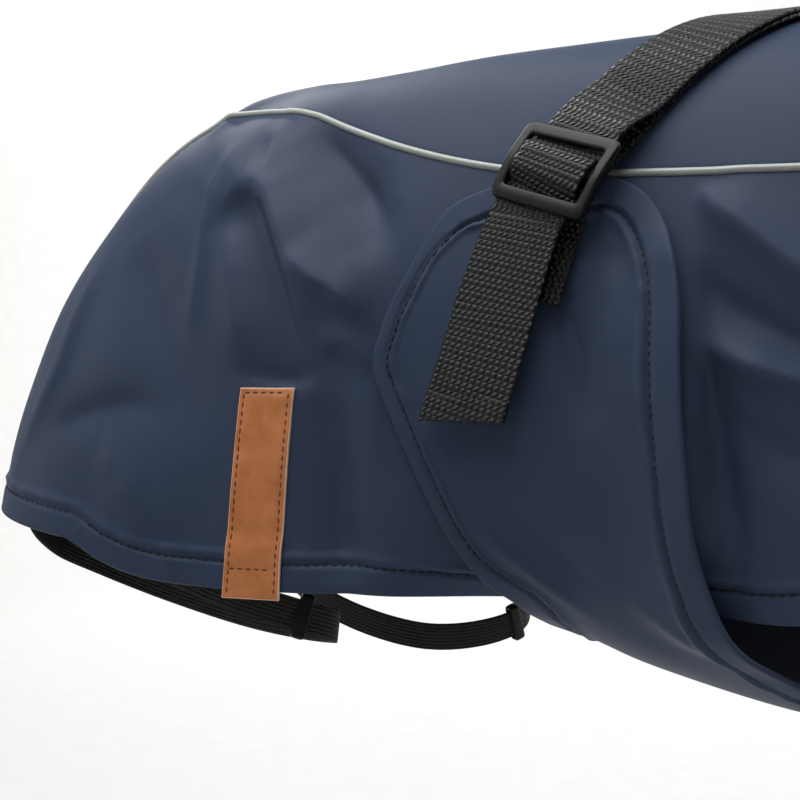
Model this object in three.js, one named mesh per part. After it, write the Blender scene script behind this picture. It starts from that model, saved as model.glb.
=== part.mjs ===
// Dog raincoat, worn and hollow, in millimetres. +X points to the head, +Z up, -Y is the dog's right side.
// The origin lies on the inner face of the back, in the middle of the ridge, where the wearer carries it.
// Every cloth wall is worked out from one form: rings from the neck to the rump, each a rounded arch.
import * as THREE from "three";

// Driving dimensions.
const CLOTH = 1.5; // wall of the coated cloth
const SEAM = 0.3; // free space between neighbouring pieces
const HEM_BAND = 14; // height of the turned hem
const HEM_RISE = 0.7; // what the turned hem adds to the wall
const PIPING = 2.8; // diameter of the reflective piping
const BELT = { width: 30, thick: 1.5 };
const SLIDE = { width: 40, length: 31, thick: 3, bar: 5, middle: 4.5, side: 3.4, corner: 3.5, bevel: 0.5 };
const LABEL = { width: 22, thick: 1.6, top: -135, bottom: -213.5, topX: -74.5, bottomX: -79.5 };
const ELASTIC = { width: 12, thick: 1.5 };
// Where the apron meets the chest.
const CHEST = { from: 150, turn: 21, lastRing: 1.4, share: 0.72, gap: 0.7 };
const APRON_LIFT = CLOTH + HEM_RISE + 1; // from the form to the apron's inner face

// One ring of the coat in each row, from the neck to the rear hem. A ring runs from the ridge down to its
// widest level, the base, and past it where the chest closes. hang is 1 where the skirt hangs free and 0 where
// the belly apron draws it in. piping is a ring angle in degrees from the ridge, hemZ the height of the lower
// edge.
const RINGS = table(
  ["ridgeX", "ridgeZ", "baseX", "baseZ", "halfWidth", "round", "hang", "piping", "hemZ"],
  [
    [195, 12, 230, -40, 66, 2.0, 1, 62, -190],
    [178, 6, 222, -92, 79, 2.1, 1, 58, -190],
    [158, 3, 196, -150, 89, 2.2, 1, 55, -201],
    [136, 1.5, 158, -194, 94, 2.4, 1, 52, -206],
    [110, 1.2, 118, -211, 96, 2.5, 0.5, 51, -211],
    [70, 1.5, 70, -211, 95, 2.5, 0, 50.5, -211],
    [20, 0.7, 20, -211, 92, 2.5, 0.1, 48.5, -211],
    [-30, -1.4, -30, -211, 90, 2.5, 0.8, 41.5, -211],
    [-80, -6, -80, -211, 91, 2.5, 1, 27.8, -211],
    [-120, -14, -107, -210, 92, 2.5, 1, 21.5, -210],
    [-151, -30, -124, -208.5, 92, 2.5, 1, 20, -208.5],
    [-177, -54, -136, -206, 92, 2.4, 1, 18.5, -206],
    [-199, -84, -145, -203, 91.5, 2.4, 1, 18.5, -203],
    [-215, -117, -152, -200, 91, 2.3, 1, 19, -200],
    [-226, -151, -157, -197.5, 91, 2.3, 1, 20, -197.5],
    [-232, -184, -161, -195, 91, 2.3, 1, 22, -195],
  ],
);

// The lowest line of the belly apron, from the waist to the chest seam.
const BELLY_LINE = table(
  ["x", "z"],
  [
    [-80, -219],
    [-30, -219],
    [0, -221],
    [30, -228],
    [60, -239],
    [110, -251],
    [150, -254],
    [190, -249],
    [225, -232],
    [264, -196.5],
  ],
);
const SHOULDER = 0.47; // share of a ring's height where its flank starts to turn in under the belly
const BELLY_ROUND = 2.35; // how square the belly's lower half is

// The outline of one half of the belly apron, from its top edge below the slide to the middle of the belly.
// turn is the angle round the trunk, 0 at the belly, 90 at the shoulder of the ring, 180 at the ridge.
const APRON = table(
  ["turn", "rearX", "frontX"],
  [
    [111.5, 10, 54],
    [108.5, -5, 65],
    [103, -13, 73],
    [96, -21, 78],
    [90, -27, 80],
    [84, -30, 80.5],
    [75, -23, 82],
    [61, -13, 86],
    [48, -5, 95],
    [37, 3, 108],
    [30, 12, 130],
    [25, 16, 160],
    [21, 19, 205],
    [18, 20, 240],
    [16, 21, 252],
    [8, 23, 260],
    [0, 24, 263],
  ],
);

// Folds as seen from the side: start and end, width across, and height out of the cloth, negative for a
// trough.
const FOLD_COLUMNS = ["x0", "z0", "x1", "z1", "width", "height"];
const RIGHT_FOLDS = table(FOLD_COLUMNS, [
  [-104, -44, -30, -108, 15, -7],
  [-118, -52, -64, -128, 13, 6],
  [-140, -74, -98, -142, 17, -7],
  [-160, -88, -130, -176, 16, 5],
  [-46, -160, -34, -206, 15, 4],
  [-206, -92, -220, -170, 14, 3],
  [82, -72, 128, -100, 10, 4],
  [84, -98, 130, -122, 13, -6],
  [86, -122, 132, -140, 9, 4],
  [92, -150, 140, -172, 16, -4],
  [150, -60, 215, -120, 16, 3],
]);
const LEFT_FOLDS = table(FOLD_COLUMNS, [
  [-98, -48, -36, -120, 15, -6],
  [-126, -58, -84, -138, 16, 5],
  [-150, -80, -112, -158, 15, -6],
  [-178, -100, -158, -184, 17, 4],
  [-70, -150, -50, -206, 16, 4],
  [80, -76, 126, -108, 12, 4],
  [84, -106, 134, -136, 13, -5],
  [96, -146, 142, -168, 15, 3],
  [148, -64, 205, -134, 16, 3],
]);

function table(columns, rows) {
  return rows.map((row) => Object.fromEntries(columns.map((name, i) => [name, row[i]])));
}

const clamp = (v, low, high) => Math.min(high, Math.max(low, v));
const mix = (a, b, t) => a + (b - a) * t;
const smooth = (v) => {
  const t = clamp(v, 0, 1);
  return t * t * (3 - 2 * t);
};

// The row between rows at place u, every column along a Catmull-Rom curve.
function between(rows, u) {
  const at = clamp(u, 0, rows.length - 1 - 1e-9);
  const i = Math.floor(at);
  const t = at - i;
  const pick = (k) => rows[clamp(k, 0, rows.length - 1)];
  const [a, b, c, d] = [pick(i - 1), pick(i), pick(i + 1), pick(i + 2)];
  const row = {};
  for (const key of Object.keys(b)) {
    const linear = (c[key] - a[key]) * t;
    const square = (2 * a[key] - 5 * b[key] + 4 * c[key] - d[key]) * t * t;
    const cube = (3 * b[key] - a[key] - 3 * c[key] + d[key]) * t * t * t;
    row[key] = 0.5 * (2 * b[key] + linear + square + cube);
  }
  return row;
}

// The place u at which a column of the rows, rising or falling, has this value.
function placeOf(rows, key, value) {
  const rising = rows[rows.length - 1][key] > rows[0][key];
  let low = 0;
  let high = rows.length - 1;
  for (let i = 0; i < 30; i += 1) {
    const middle = (low + high) / 2;
    if (between(rows, middle)[key] < value === rising) low = middle;
    else high = middle;
  }
  return (low + high) / 2;
}

const LAST = RINGS.length - 1;
const FIRST_UPRIGHT = 4;
const UPRIGHT = RINGS.slice(FIRST_UPRIGHT, 9);
const bellyZ = (x) => between(BELLY_LINE, placeOf(BELLY_LINE, "x", x)).z;

// The ring angle at which ring s reaches the lower edge, 180 where the chest is closed.
function hemAngle(s) {
  const ring = between(RINGS, s);
  const height = clamp((ring.hemZ - ring.baseZ) / (ring.ridgeZ - ring.baseZ), -1, 0);
  return THREE.MathUtils.radToDeg(Math.acos(-(Math.abs(height) ** (ring.round / 2))));
}

// How far the flank keeps its full width at this height of the ring, where 1 is the ridge and 0 the base.
function drawnIn(height, lowest, hang) {
  const depth = clamp((SHOULDER - height) / (SHOULDER - lowest), 0, 1);
  const belly = (1 - depth ** BELLY_ROUND) ** (1 / BELLY_ROUND);
  return hang + (1 - hang) * belly;
}

// A point of the coat's form: ring s, angle in degrees from the ridge, positive on the right side.
function coatForm(s, angle) {
  if (Math.abs(angle) > 180) return coatForm(s, angle - 360 * Math.sign(angle));
  const ring = between(RINGS, s);
  const turn = THREE.MathUtils.degToRad(Math.abs(angle));
  const cosine = Math.cos(turn);
  const height = Math.sign(cosine) * Math.abs(cosine) ** (2 / ring.round);
  const across = Math.abs(Math.sin(turn)) ** (2 / ring.round);
  const x = mix(ring.baseX, ring.ridgeX, height);
  const z = mix(ring.baseZ, ring.ridgeZ, height);
  const lowest = (bellyZ(x) - ring.baseZ) / (ring.ridgeZ - ring.baseZ);
  const y = ring.halfWidth * across * drawnIn(height, lowest, ring.hang);
  return new THREE.Vector3(x, -Math.sign(angle) * y, z);
}

// A point of the trunk's form at x, turned round it from the belly (0) over the right side to the ridge (180)
// and down the left side to the belly again (360).
function trunkForm(x, turn) {
  if (turn < 0 || turn > 360) return trunkForm(x, turn - 360 * Math.sign(turn));
  const ring = between(UPRIGHT, placeOf(UPRIGHT, "baseX", clamp(x, -80, 118)));
  const half = turn > 180 ? 360 - turn : turn;
  const lowest = (bellyZ(x) - ring.baseZ) / (ring.ridgeZ - ring.baseZ);
  const shoulderAngle = Math.acos(SHOULDER ** (ring.round / 2));
  let height;
  let hang = clamp(ring.hang, 0, 1);
  if (half > 90) {
    height = Math.cos((shoulderAngle * (180 - half)) / 90) ** (2 / ring.round);
  } else {
    const depth = Math.cos(THREE.MathUtils.degToRad(half)) ** (2 / BELLY_ROUND);
    height = mix(SHOULDER, lowest, depth);
    hang *= smooth((height - lowest) / Math.max(0.03, -lowest)) * smooth((132 - x) / 20);
  }
  const across = height > 0 ? (1 - height ** ring.round) ** (1 / ring.round) : 1;
  const y = ring.halfWidth * across * drawnIn(height, lowest, hang);
  return new THREE.Vector3(x, turn > 180 ? y : -y, mix(ring.baseZ, ring.ridgeZ, height));
}

// The unit normal of a form at (a, b), pointing out of the body.
function normalOf(form, a, b, stepA, stepB) {
  const alongA = form(a + stepA, b).sub(form(a - stepA, b));
  const alongB = form(a, b + stepB).sub(form(a, b - stepB));
  const normal = alongA.cross(alongB).normalize();
  return normal;
}

// Height of the folds of one side at this place of the side view.
function folds(rows, x, z) {
  let sum = 0;
  for (const fold of rows) {
    const [dx, dz] = [fold.x1 - fold.x0, fold.z1 - fold.z0];
    const along = ((x - fold.x0) * dx + (z - fold.z0) * dz) / (dx * dx + dz * dz);
    const clear = clamp(along, 0, 1);
    const away = Math.hypot(x - fold.x0 - clear * dx, z - fold.z0 - clear * dz);
    const fade = smooth(along / 0.3 + 0.35) * smooth((1 - along) / 0.4 + 0.35);
    sum += fold.height * fade * Math.exp(-((away / fold.width) ** 2));
  }
  return sum;
}

// Share of the folds that stays at this place: none below the belt, little below the apron.
function freeCloth(x, z) {
  const inApron = smooth((x + 45) / 25) * smooth((92 - x) / 12) * smooth((-50 - z) / 15);
  const inBelt = smooth((x - 15) / 15) * smooth((100 - x) / 12);
  return (1 - inApron) * (1 - inBelt * smooth((z + 75) / 10));
}

// Height of the lower edge of the skirt above x.
const SKIRT_EDGE = RINGS.slice(FIRST_UPRIGHT).concat([{ ...RINGS[LAST], baseX: -233, baseZ: -184 }]);
const skirtZ = (x) => between(SKIRT_EDGE, placeOf(SKIRT_EDGE, "baseX", x)).baseZ;

// A point of the coat, this far out of its inner face.
function coat(s, angle, out) {
  const point = coatForm(s, angle);
  const normal = normalOf(coatForm, clamp(s, 0.02, LAST - 0.02), angle, 0.02, 0.5);
  const side = smooth(Math.abs(point.y) / 30);
  const rows = angle > 0 ? RIGHT_FOLDS : LEFT_FOLDS;
  const fold = folds(rows, point.x, point.z) * freeCloth(point.x, point.z) * side;
  return point.addScaledVector(normal, out + fold);
}

// What the turned hem adds to the wall here.
function hemRise(s, angle) {
  const point = coatForm(s, angle);
  const above = s > FIRST_UPRIGHT ? point.z - skirtZ(point.x) : HEM_BAND * 2;
  return above < HEM_BAND ? HEM_RISE : 0;
}

// A closed wall between two grids of points with the same rows and columns.
function wall(rows, columns, outer, inner) {
  const points = [];
  for (const face of [outer, inner])
    for (let i = 0; i <= rows; i += 1)
      for (let j = 0; j <= columns; j += 1) points.push(face(i / rows, j / columns));
  const at = (face, i, j) => (face * (rows + 1) + i) * (columns + 1) + j;
  const index = [];
  const quad = (a, b, c, d) => index.push(a, b, c, a, c, d);
  for (let i = 0; i < rows; i += 1)
    for (let j = 0; j < columns; j += 1) {
      quad(at(0, i, j), at(0, i + 1, j), at(0, i + 1, j + 1), at(0, i, j + 1));
      quad(at(1, i, j), at(1, i, j + 1), at(1, i + 1, j + 1), at(1, i + 1, j));
    }
  for (let i = 0; i < rows; i += 1) {
    quad(at(0, i, 0), at(1, i, 0), at(1, i + 1, 0), at(0, i + 1, 0));
    quad(at(0, i + 1, columns), at(1, i + 1, columns), at(1, i, columns), at(0, i, columns));
  }
  for (let j = 0; j < columns; j += 1) {
    quad(at(0, 0, j + 1), at(1, 0, j + 1), at(1, 0, j), at(0, 0, j));
    quad(at(0, rows, j), at(1, rows, j), at(1, rows, j + 1), at(0, rows, j + 1));
  }
  return solid(points, index);
}

// A closed bar through rings of points, one ring for each step of its path.
function bar(rings) {
  const sides = rings[0].length;
  const index = [];
  for (let i = 0; i + 1 < rings.length; i += 1)
    for (let j = 0; j < sides; j += 1) {
      const [a, b] = [i * sides + j, i * sides + ((j + 1) % sides)];
      index.push(a, b, b + sides, a, b + sides, a + sides);
    }
  const end = (rings.length - 1) * sides;
  for (let j = 1; j + 1 < sides; j += 1) {
    index.push(0, j + 1, j);
    index.push(end, end + j, end + j + 1);
  }
  return solid(rings.flat(), index);
}

// A geometry of shared vertices, its faces turned outwards.
function solid(points, index) {
  let volume = 0;
  for (let i = 0; i < index.length; i += 3) {
    const [a, b, c] = [points[index[i]], points[index[i + 1]], points[index[i + 2]]];
    volume += a.dot(b.clone().cross(c));
  }
  if (volume < 0) index.reverse();
  return new THREE.BufferGeometry().setFromPoints(points).setIndex(index);
}

// A flat ribbon along steps that each have a middle, a direction across and a direction out.
function ribbon(steps, width, thick) {
  const rings = steps.map(({ middle, across, out }) =>
    [
      [-1, -1],
      [1, -1],
      [1, 1],
      [-1, 1],
    ].map(([a, b]) =>
      middle
        .clone()
        .addScaledVector(across, (a * width) / 2)
        .addScaledVector(out, (b * thick) / 2),
    ),
  );
  return bar(rings);
}

const raincoat = new THREE.Group();

const FINISH = {
  cloth: { color: 0x3a4258, roughness: 0.62, metalness: 0 },
  piping: { color: 0x8d928f, roughness: 0.45, metalness: 0 },
  leather: { color: 0xc07a46, roughness: 0.6, metalness: 0 },
  webbing: { color: 0x1c1d1c, roughness: 0.9, metalness: 0 },
  plastic: { color: 0x232422, roughness: 0.45, metalness: 0 },
  elastic: { color: 0x15150f, roughness: 0.95, metalness: 0 },
};

function add(name, geometry, finish) {
  const mesh = new THREE.Mesh(geometry, new THREE.MeshStandardMaterial(FINISH[finish]));
  mesh.name = name;
  raincoat.add(mesh);
}

// Degrees of a ring angle that span this many millimetres at a place of the coat.
function degreesFor(s, angle, span) {
  return (2 * span) / coatForm(s, angle + 1).distanceTo(coatForm(s, angle - 1));
}

// Back panel, between the two rows of piping.
const SEAM_HALF = PIPING / 2 + 1.5 * SEAM;
function backPanel() {
  const face = (out) => (u, v) => {
    const s = LAST * u;
    const piping = between(RINGS, s).piping;
    const edge = piping - degreesFor(s, piping, SEAM_HALF);
    const angle = mix(-edge, edge, v);
    return coat(s, angle, out === 0 ? 0 : CLOTH + hemRise(s, angle));
  };
  return wall(40, 12, face(1), face(0));
}

// Side panel, from the piping down to the hem, and in front round the chest to its middle seam.
const PANEL_COLUMNS = [0, 0.09, 0.18, 0.27, 0.36, 0.45, 0.54, 0.63, 0.72, 0.81, 0.89, 0.945, 1];
function sidePanel(side) {
  const columns = PANEL_COLUMNS.length - 1;
  const face = (out) => (u, v) => {
    const s = LAST * u;
    const piping = between(RINGS, s).piping;
    const upper = piping + degreesFor(s, piping, SEAM_HALF);
    const hem = hemAngle(s);
    const lower = hem > 175 ? hem - degreesFor(s, 178, SEAM / 2) : hem;
    const angle = side * mix(upper, lower, PANEL_COLUMNS[Math.round(v * columns)]);
    return coat(s, angle, out === 0 ? 0 : CLOTH + hemRise(s, angle));
  };
  return wall(60, columns, face(1), face(0));
}

// Piping, a cord in the seam between back and side panel.
function piping(side) {
  const steps = 58;
  const sides = 8;
  const rings = [];
  for (let i = 0; i <= steps; i += 1) {
    const s = (LAST * i) / steps;
    const angle = side * between(RINGS, s).piping;
    const middle = coat(s, angle, CLOTH);
    const up = coat(s, angle, CLOTH + 1).sub(middle).normalize();
    const seamAt = (at) => coat(at, side * between(RINGS, at).piping, CLOTH);
    const along = seamAt(Math.min(LAST, s + 0.05)).sub(seamAt(Math.max(0, s - 0.05))).normalize();
    const across = along.clone().cross(up).normalize();
    const ring = [];
    for (let j = 0; j < sides; j += 1) {
      const a = (2 * Math.PI * j) / sides;
      ring.push(
        middle
          .clone()
          .addScaledVector(across, (Math.cos(a) * PIPING) / 2)
          .addScaledVector(up, (Math.sin(a) * PIPING) / 2),
      );
    }
    rings.push(ring);
  }
  return bar(rings);
}

// How far the free front and rear edges of the apron stand off the coat.
function apronFlare(x, turn) {
  const half = turn > 180 ? 360 - turn : turn;
  const high = smooth((108 - half) / 12) * smooth((half - 34) / 14);
  const front = 7 * smooth((x - 54) / 30) * high;
  const rear = 2 * smooth((-12 - x) / 18) * high;
  return front + rear;
}

// A point this far out of the trunk's form.
function trunk(x, turn, out) {
  const point = trunkForm(x, turn);
  const normal = normalOf(trunkForm, x, turn, 0.5, 0.5);
  if (normal.dot(point.clone().sub(new THREE.Vector3(x, 0, -120))) < 0) normal.negate();
  return point.addScaledVector(normal, out);
}

// The apron's point at this place, brought to the hem of the chest at its front end.
function apronPoint(x, turn, out, share) {
  const free = trunk(x, turn, out + apronFlare(x, turn));
  const half = turn > 180 ? 360 - turn : turn;
  if (x < CHEST.from || half > CHEST.turn) return free;
  const s = 1.02 + (CHEST.lastRing - 1.02) * (half / CHEST.turn);
  const side = turn > 180 ? -1 : 1;
  const angle = side * hemAngle(s);
  const step = 0.04;
  const edge = coatForm(s + step, side * hemAngle(s + step)).sub(coatForm(s, angle));
  const away = edge.cross(coat(s, angle, 1).sub(coat(s, angle, 0))).multiplyScalar(-side).normalize();
  const seam = coat(s, angle, out - APRON_LIFT).addScaledVector(away, CHEST.gap);
  return free.lerp(seam, smooth((share - CHEST.share) / (1 - CHEST.share)));
}

// Belly apron: from the chest seam between the front legs to the belly, and up both sides over the skirt.
function bellyApron() {
  const half = APRON.length - 1;
  const rows = 60;
  const columns = 14;
  const face = (out) => (u, v) => {
    const place = half * (1 - Math.abs(2 * u - 1));
    const row = between(APRON, place);
    const turn = u < 0.5 ? row.turn : 360 - row.turn;
    const x = mix(row.rearX, row.frontX, v);
    const band = v < 0.08 || v > 0.92 ? HEM_RISE : 0;
    return apronPoint(x, turn, APRON_LIFT + (out === 0 ? 0 : CLOTH + band), v);
  };
  return wall(rows, columns, face(1), face(0));
}

// The ring and its angle at this x and z of the side view, for a ring that may lean.
function ringAt(x, z) {
  const skirt = RINGS.slice(FIRST_UPRIGHT);
  let [s, height, baseX] = [0, 0, x];
  for (let i = 0; i < 6; i += 1) {
    s = placeOf(skirt, "baseX", baseX) + FIRST_UPRIGHT;
    const ring = between(RINGS, s);
    height = (z - ring.baseZ) / (ring.ridgeZ - ring.baseZ);
    baseX = x - height * (ring.ridgeX - ring.baseX);
  }
  const cosine = Math.sign(height) * Math.abs(height) ** (between(RINGS, s).round / 2);
  return [s, THREE.MathUtils.radToDeg(Math.acos(cosine))];
}

// Leather label on the right side panel, a patch of the panel moved out.
function label() {
  const face = (out) => (u, v) => {
    const z = mix(LABEL.top, LABEL.bottom, u);
    const x = mix(LABEL.topX, LABEL.bottomX, u) + (v - 0.5) * LABEL.width;
    const [s, angle] = ringAt(x, z);
    return coat(s, angle, out);
  };
  const low = CLOTH + HEM_RISE + 3 * SEAM;
  return wall(24, 6, face(low + LABEL.thick), face(low));
}

// The belt's line: x over the turn round the trunk, the same on both sides of the ridge.
const STRAP = { slideX: 36, slideTurn: 111.5, lean: 1.2, straight: 43 };
const TAIL_LEAN = 0.74;
function strapX(turn) {
  const half = turn > 180 ? 360 - turn : turn;
  const rise = half - STRAP.slideTurn;
  const crown = Math.max(0, rise - STRAP.straight);
  const bend = STRAP.lean / 2 / (180 - STRAP.slideTurn - STRAP.straight);
  return STRAP.slideX + STRAP.lean * rise - bend * crown * crown;
}
const tailX = (turn) => (turn < 104 ? strapX(104) - TAIL_LEAN * (104 - turn) : strapX(turn));
const SEWN_LEAN = 0.6;
const sewnX = (turn) =>
  turn < STRAP.slideTurn ? STRAP.slideX - SEWN_LEAN * (STRAP.slideTurn - turn) : strapX(turn);

// The belt's lowest face above the form: over the apron, over the piping, then on the back.
function beltFloor(turn) {
  const half = turn > 180 ? 360 - turn : turn;
  const apron = APRON_LIFT + CLOTH + HEM_RISE + SEAM + 0.9;
  const piping = CLOTH + PIPING / 2 + SEAM + 0.1;
  const back = CLOTH + SEAM + 0.6;
  return mix(mix(apron, piping, smooth((half - 113.5) / 7)), back, smooth((half - 118) / 9));
}

// A step of a ribbon that follows a line round the trunk: turn, and height of its middle over the form.
function stepOn(lineX, turn, out) {
  const place = (t, o) => trunk(lineX(t), t, o);
  const middle = place(turn, out);
  const along = place(turn + 0.5, out).sub(place(turn - 0.5, out)).normalize();
  const up = place(turn, out + 1).sub(middle).normalize();
  return { middle, across: along.cross(up).normalize() };
}

// A ribbon whose steps know their middle and their direction across.
function foldedRibbon(steps, width, thick) {
  const full = steps.map((step, i) => {
    const before = steps[Math.max(0, i - 1)].middle;
    const after = steps[Math.min(steps.length - 1, i + 1)].middle;
    const along = after.clone().sub(before).normalize();
    return { ...step, out: step.across.clone().cross(along).normalize() };
  });
  return ribbon(full, width, thick);
}

// Millimetres round the trunk for one degree of turn at a place of the strap.
function turnLength(turn) {
  return trunk(strapX(turn + 0.5), turn + 0.5, 6).distanceTo(trunk(strapX(turn - 0.5), turn - 0.5, 6));
}

const RING = { width: 40, length: 17, wire: 3.4, turn: 256 };
const FOLD = RING.wire / 2 + 2 * SEAM + BELT.thick / 2; // radius of the webbing's middle round a wire
const TAIL_END = 77;
const SEWN_END = 92;

// Heights of the belt's upper layer at the slide: distance along the strap, height over its lowest face.
const WEAVE = [
  [16, 2.55],
  [9.3, 2.55],
  [3, 7.7],
  [-3, 7.7],
  [-9.3, 2.55],
  [-16, 2.55],
];

// Belt: sewn to the right wing, over the back, round the wire ring on the left wing, back over the back,
// through the slide, and down as a free tail.
function belt() {
  const half = BELT.thick / 2;
  const wireTurn = RING.turn - (RING.length - RING.wire) / 2 / turnLength(RING.turn);
  const spread = (turn) => smooth((turn - (wireTurn - 9)) / 8);
  const steps = [];
  const lower = (turn) => beltFloor(turn) + half;
  for (let turn = SEWN_END; turn < wireTurn - 1; turn += turn < 125 || turn > 236 ? 2 : 5)
    steps.push(stepOn(sewnX, turn, lower(turn)));
  const centre = beltFloor(wireTurn) + half + FOLD;
  for (let i = 0; i <= 6; i += 1) {
    const a = (Math.PI * i) / 6;
    const turn = wireTurn + (Math.sin(a) * FOLD) / turnLength(wireTurn);
    steps.push(stepOn(strapX, turn, centre - Math.cos(a) * FOLD));
  }
  const upper = (turn) => beltFloor(turn) + half + BELT.thick + SEAM;
  const rise = 2 * FOLD - BELT.thick - SEAM;
  const slideTop = STRAP.slideTurn + 18 / turnLength(STRAP.slideTurn);
  for (let turn = wireTurn - 2; turn > slideTop; turn -= turn < 132 || turn > 234 ? 2 : 5)
    steps.push(stepOn(strapX, turn, upper(turn) + rise * spread(turn)));
  for (const [along, height] of WEAVE) {
    const turn = STRAP.slideTurn + along / turnLength(STRAP.slideTurn);
    steps.push(stepOn(tailX, turn, beltFloor(Math.min(turn, 113)) + height));
  }
  const tailTop = STRAP.slideTurn - 18 / turnLength(STRAP.slideTurn);
  for (let i = 0; i <= 10; i += 1) {
    const turn = mix(tailTop, TAIL_END, i / 10);
    steps.push(stepOn(tailX, turn, upper(turn) + 0.4 + 1.6 * smooth(i / 10)));
  }
  return foldedRibbon(steps, BELT.width, BELT.thick);
}

// A rounded rectangle in the plane of a frame.
function roundedRectangle(width, length, corner, Kind) {
  const [w, l, r] = [width / 2, length / 2, corner];
  const shape = new Kind();
  shape.moveTo(-w + r, -l);
  shape.lineTo(w - r, -l);
  shape.absarc(w - r, -l + r, r, -Math.PI / 2, 0);
  shape.lineTo(w, l - r);
  shape.absarc(w - r, l - r, r, 0, Math.PI / 2);
  shape.lineTo(-w + r, l);
  shape.absarc(-w + r, l - r, r, Math.PI / 2, Math.PI);
  shape.lineTo(-w, -l + r);
  shape.absarc(-w + r, -l + r, r, Math.PI, 1.5 * Math.PI);
  return shape;
}

// Places a geometry drawn in the plane across, along, out on the strap's line.
function placeOnStrap(geometry, turn, out) {
  const { middle, across } = stepOn(strapX, turn, out);
  const up = trunk(strapX(turn), turn, out + 1).sub(middle).normalize();
  const along = up.clone().cross(across).normalize();
  return geometry.applyMatrix4(new THREE.Matrix4().makeBasis(across, along, up).setPosition(middle));
}

// Slide: two outer bars and a middle bar in a rounded frame.
function slide() {
  const outline = roundedRectangle(SLIDE.width, SLIDE.length, SLIDE.corner, THREE.Shape);
  const slotLength = (SLIDE.length - 2 * SLIDE.bar - SLIDE.middle) / 2;
  const slotMiddle = SLIDE.middle / 2 + slotLength / 2;
  for (const side of [-1, 1]) {
    const slot = roundedRectangle(SLIDE.width - 2 * SLIDE.side, slotLength, 0.8, THREE.Path);
    const points = slot.getPoints(3).map((p) => new THREE.Vector2(p.x, p.y + side * slotMiddle));
    outline.holes.push(new THREE.Path(points));
  }
  const frame = new THREE.ExtrudeGeometry(outline, {
    depth: SLIDE.thick - 2 * SLIDE.bevel,
    curveSegments: 3,
    bevelThickness: SLIDE.bevel,
    bevelSize: SLIDE.bevel,
    bevelOffset: -SLIDE.bevel,
    bevelSegments: 1,
  });
  frame.translate(0, 0, SLIDE.bevel);
  return placeOnStrap(frame, STRAP.slideTurn, beltFloor(STRAP.slideTurn) + 2 * (BELT.thick + SEAM));
}

// Wire ring on the left wing that the belt runs through.
function wireRing() {
  const path = roundedRectangle(RING.width, RING.length, 4, THREE.Path);
  const middles = path.getPoints(4).slice(0, -1);
  const sides = 8;
  const points = [];
  const index = [];
  middles.forEach((p, i) => {
    const next = middles[(i + 1) % middles.length];
    const last = middles[(i + middles.length - 1) % middles.length];
    const along = new THREE.Vector2().subVectors(next, last).normalize();
    for (let j = 0; j < sides; j += 1) {
      const a = (2 * Math.PI * j) / sides;
      const away = (Math.cos(a) * RING.wire) / 2;
      const height = (Math.sin(a) * RING.wire) / 2;
      points.push(new THREE.Vector3(p.x + along.y * away, p.y - along.x * away, height));
    }
  });
  for (let i = 0; i < middles.length; i += 1)
    for (let j = 0; j < sides; j += 1) {
      const [a, b] = [i * sides + j, i * sides + ((j + 1) % sides)];
      const step = ((i + 1) % middles.length) * sides;
      const [c, d] = [step + j, step + ((j + 1) % sides)];
      index.push(a, b, d, a, d, c);
    }
  const out = beltFloor(RING.turn) + BELT.thick / 2 + FOLD - 0.15;
  return placeOnStrap(solid(points, index), RING.turn, out);
}

// Tab of webbing that holds the wire ring on the left wing, folded round its lower wire.
function ringTab() {
  const half = BELT.thick / 2;
  const wireTurn = RING.turn + (RING.length - RING.wire) / 2 / turnLength(RING.turn);
  const centre = beltFloor(wireTurn) + half + FOLD;
  const steps = [];
  for (const turn of [281, 277, 273, 269, 265]) steps.push(stepOn(strapX, turn, beltFloor(turn) + half));
  for (let i = 0; i <= 6; i += 1) {
    const a = (Math.PI * i) / 6;
    const turn = wireTurn - (Math.sin(a) * FOLD) / turnLength(wireTurn);
    steps.push(stepOn(strapX, turn, centre - Math.cos(a) * FOLD));
  }
  const top = (turn) => beltFloor(turn) + half + BELT.thick + SEAM;
  steps.push(stepOn(strapX, 265, top(265) + 2.4), stepOn(strapX, 269, top(269) + 0.5));
  for (const turn of [272, 276, 280]) steps.push(stepOn(strapX, turn, top(turn)));
  return foldedRibbon(steps, BELT.width, BELT.thick);
}

// The place of the coat's form that has this x and z in the side view.
function placeAt(x, z) {
  let best = [8, 60];
  const miss = (s, angle) => {
    const point = coatForm(s, angle);
    return Math.hypot(point.x - x, point.z - z);
  };
  for (let s = 4; s <= LAST; s += 0.5)
    for (let angle = 30; angle <= 90; angle += 3) if (miss(s, angle) < miss(...best)) best = [s, angle];
  for (let step = 0.25; step > 1e-4; step /= 1.5)
    for (const [ds, da] of [[1, 0], [-1, 0], [0, 1], [0, -1], [1, 1], [-1, -1], [1, -1], [-1, 1]]) {
      const next = [clamp(best[0] + ds * step, 0, LAST), clamp(best[1] + da * step * 6, 5, 90)];
      if (miss(...next) < miss(...best)) best = next;
    }
  return best;
}

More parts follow.
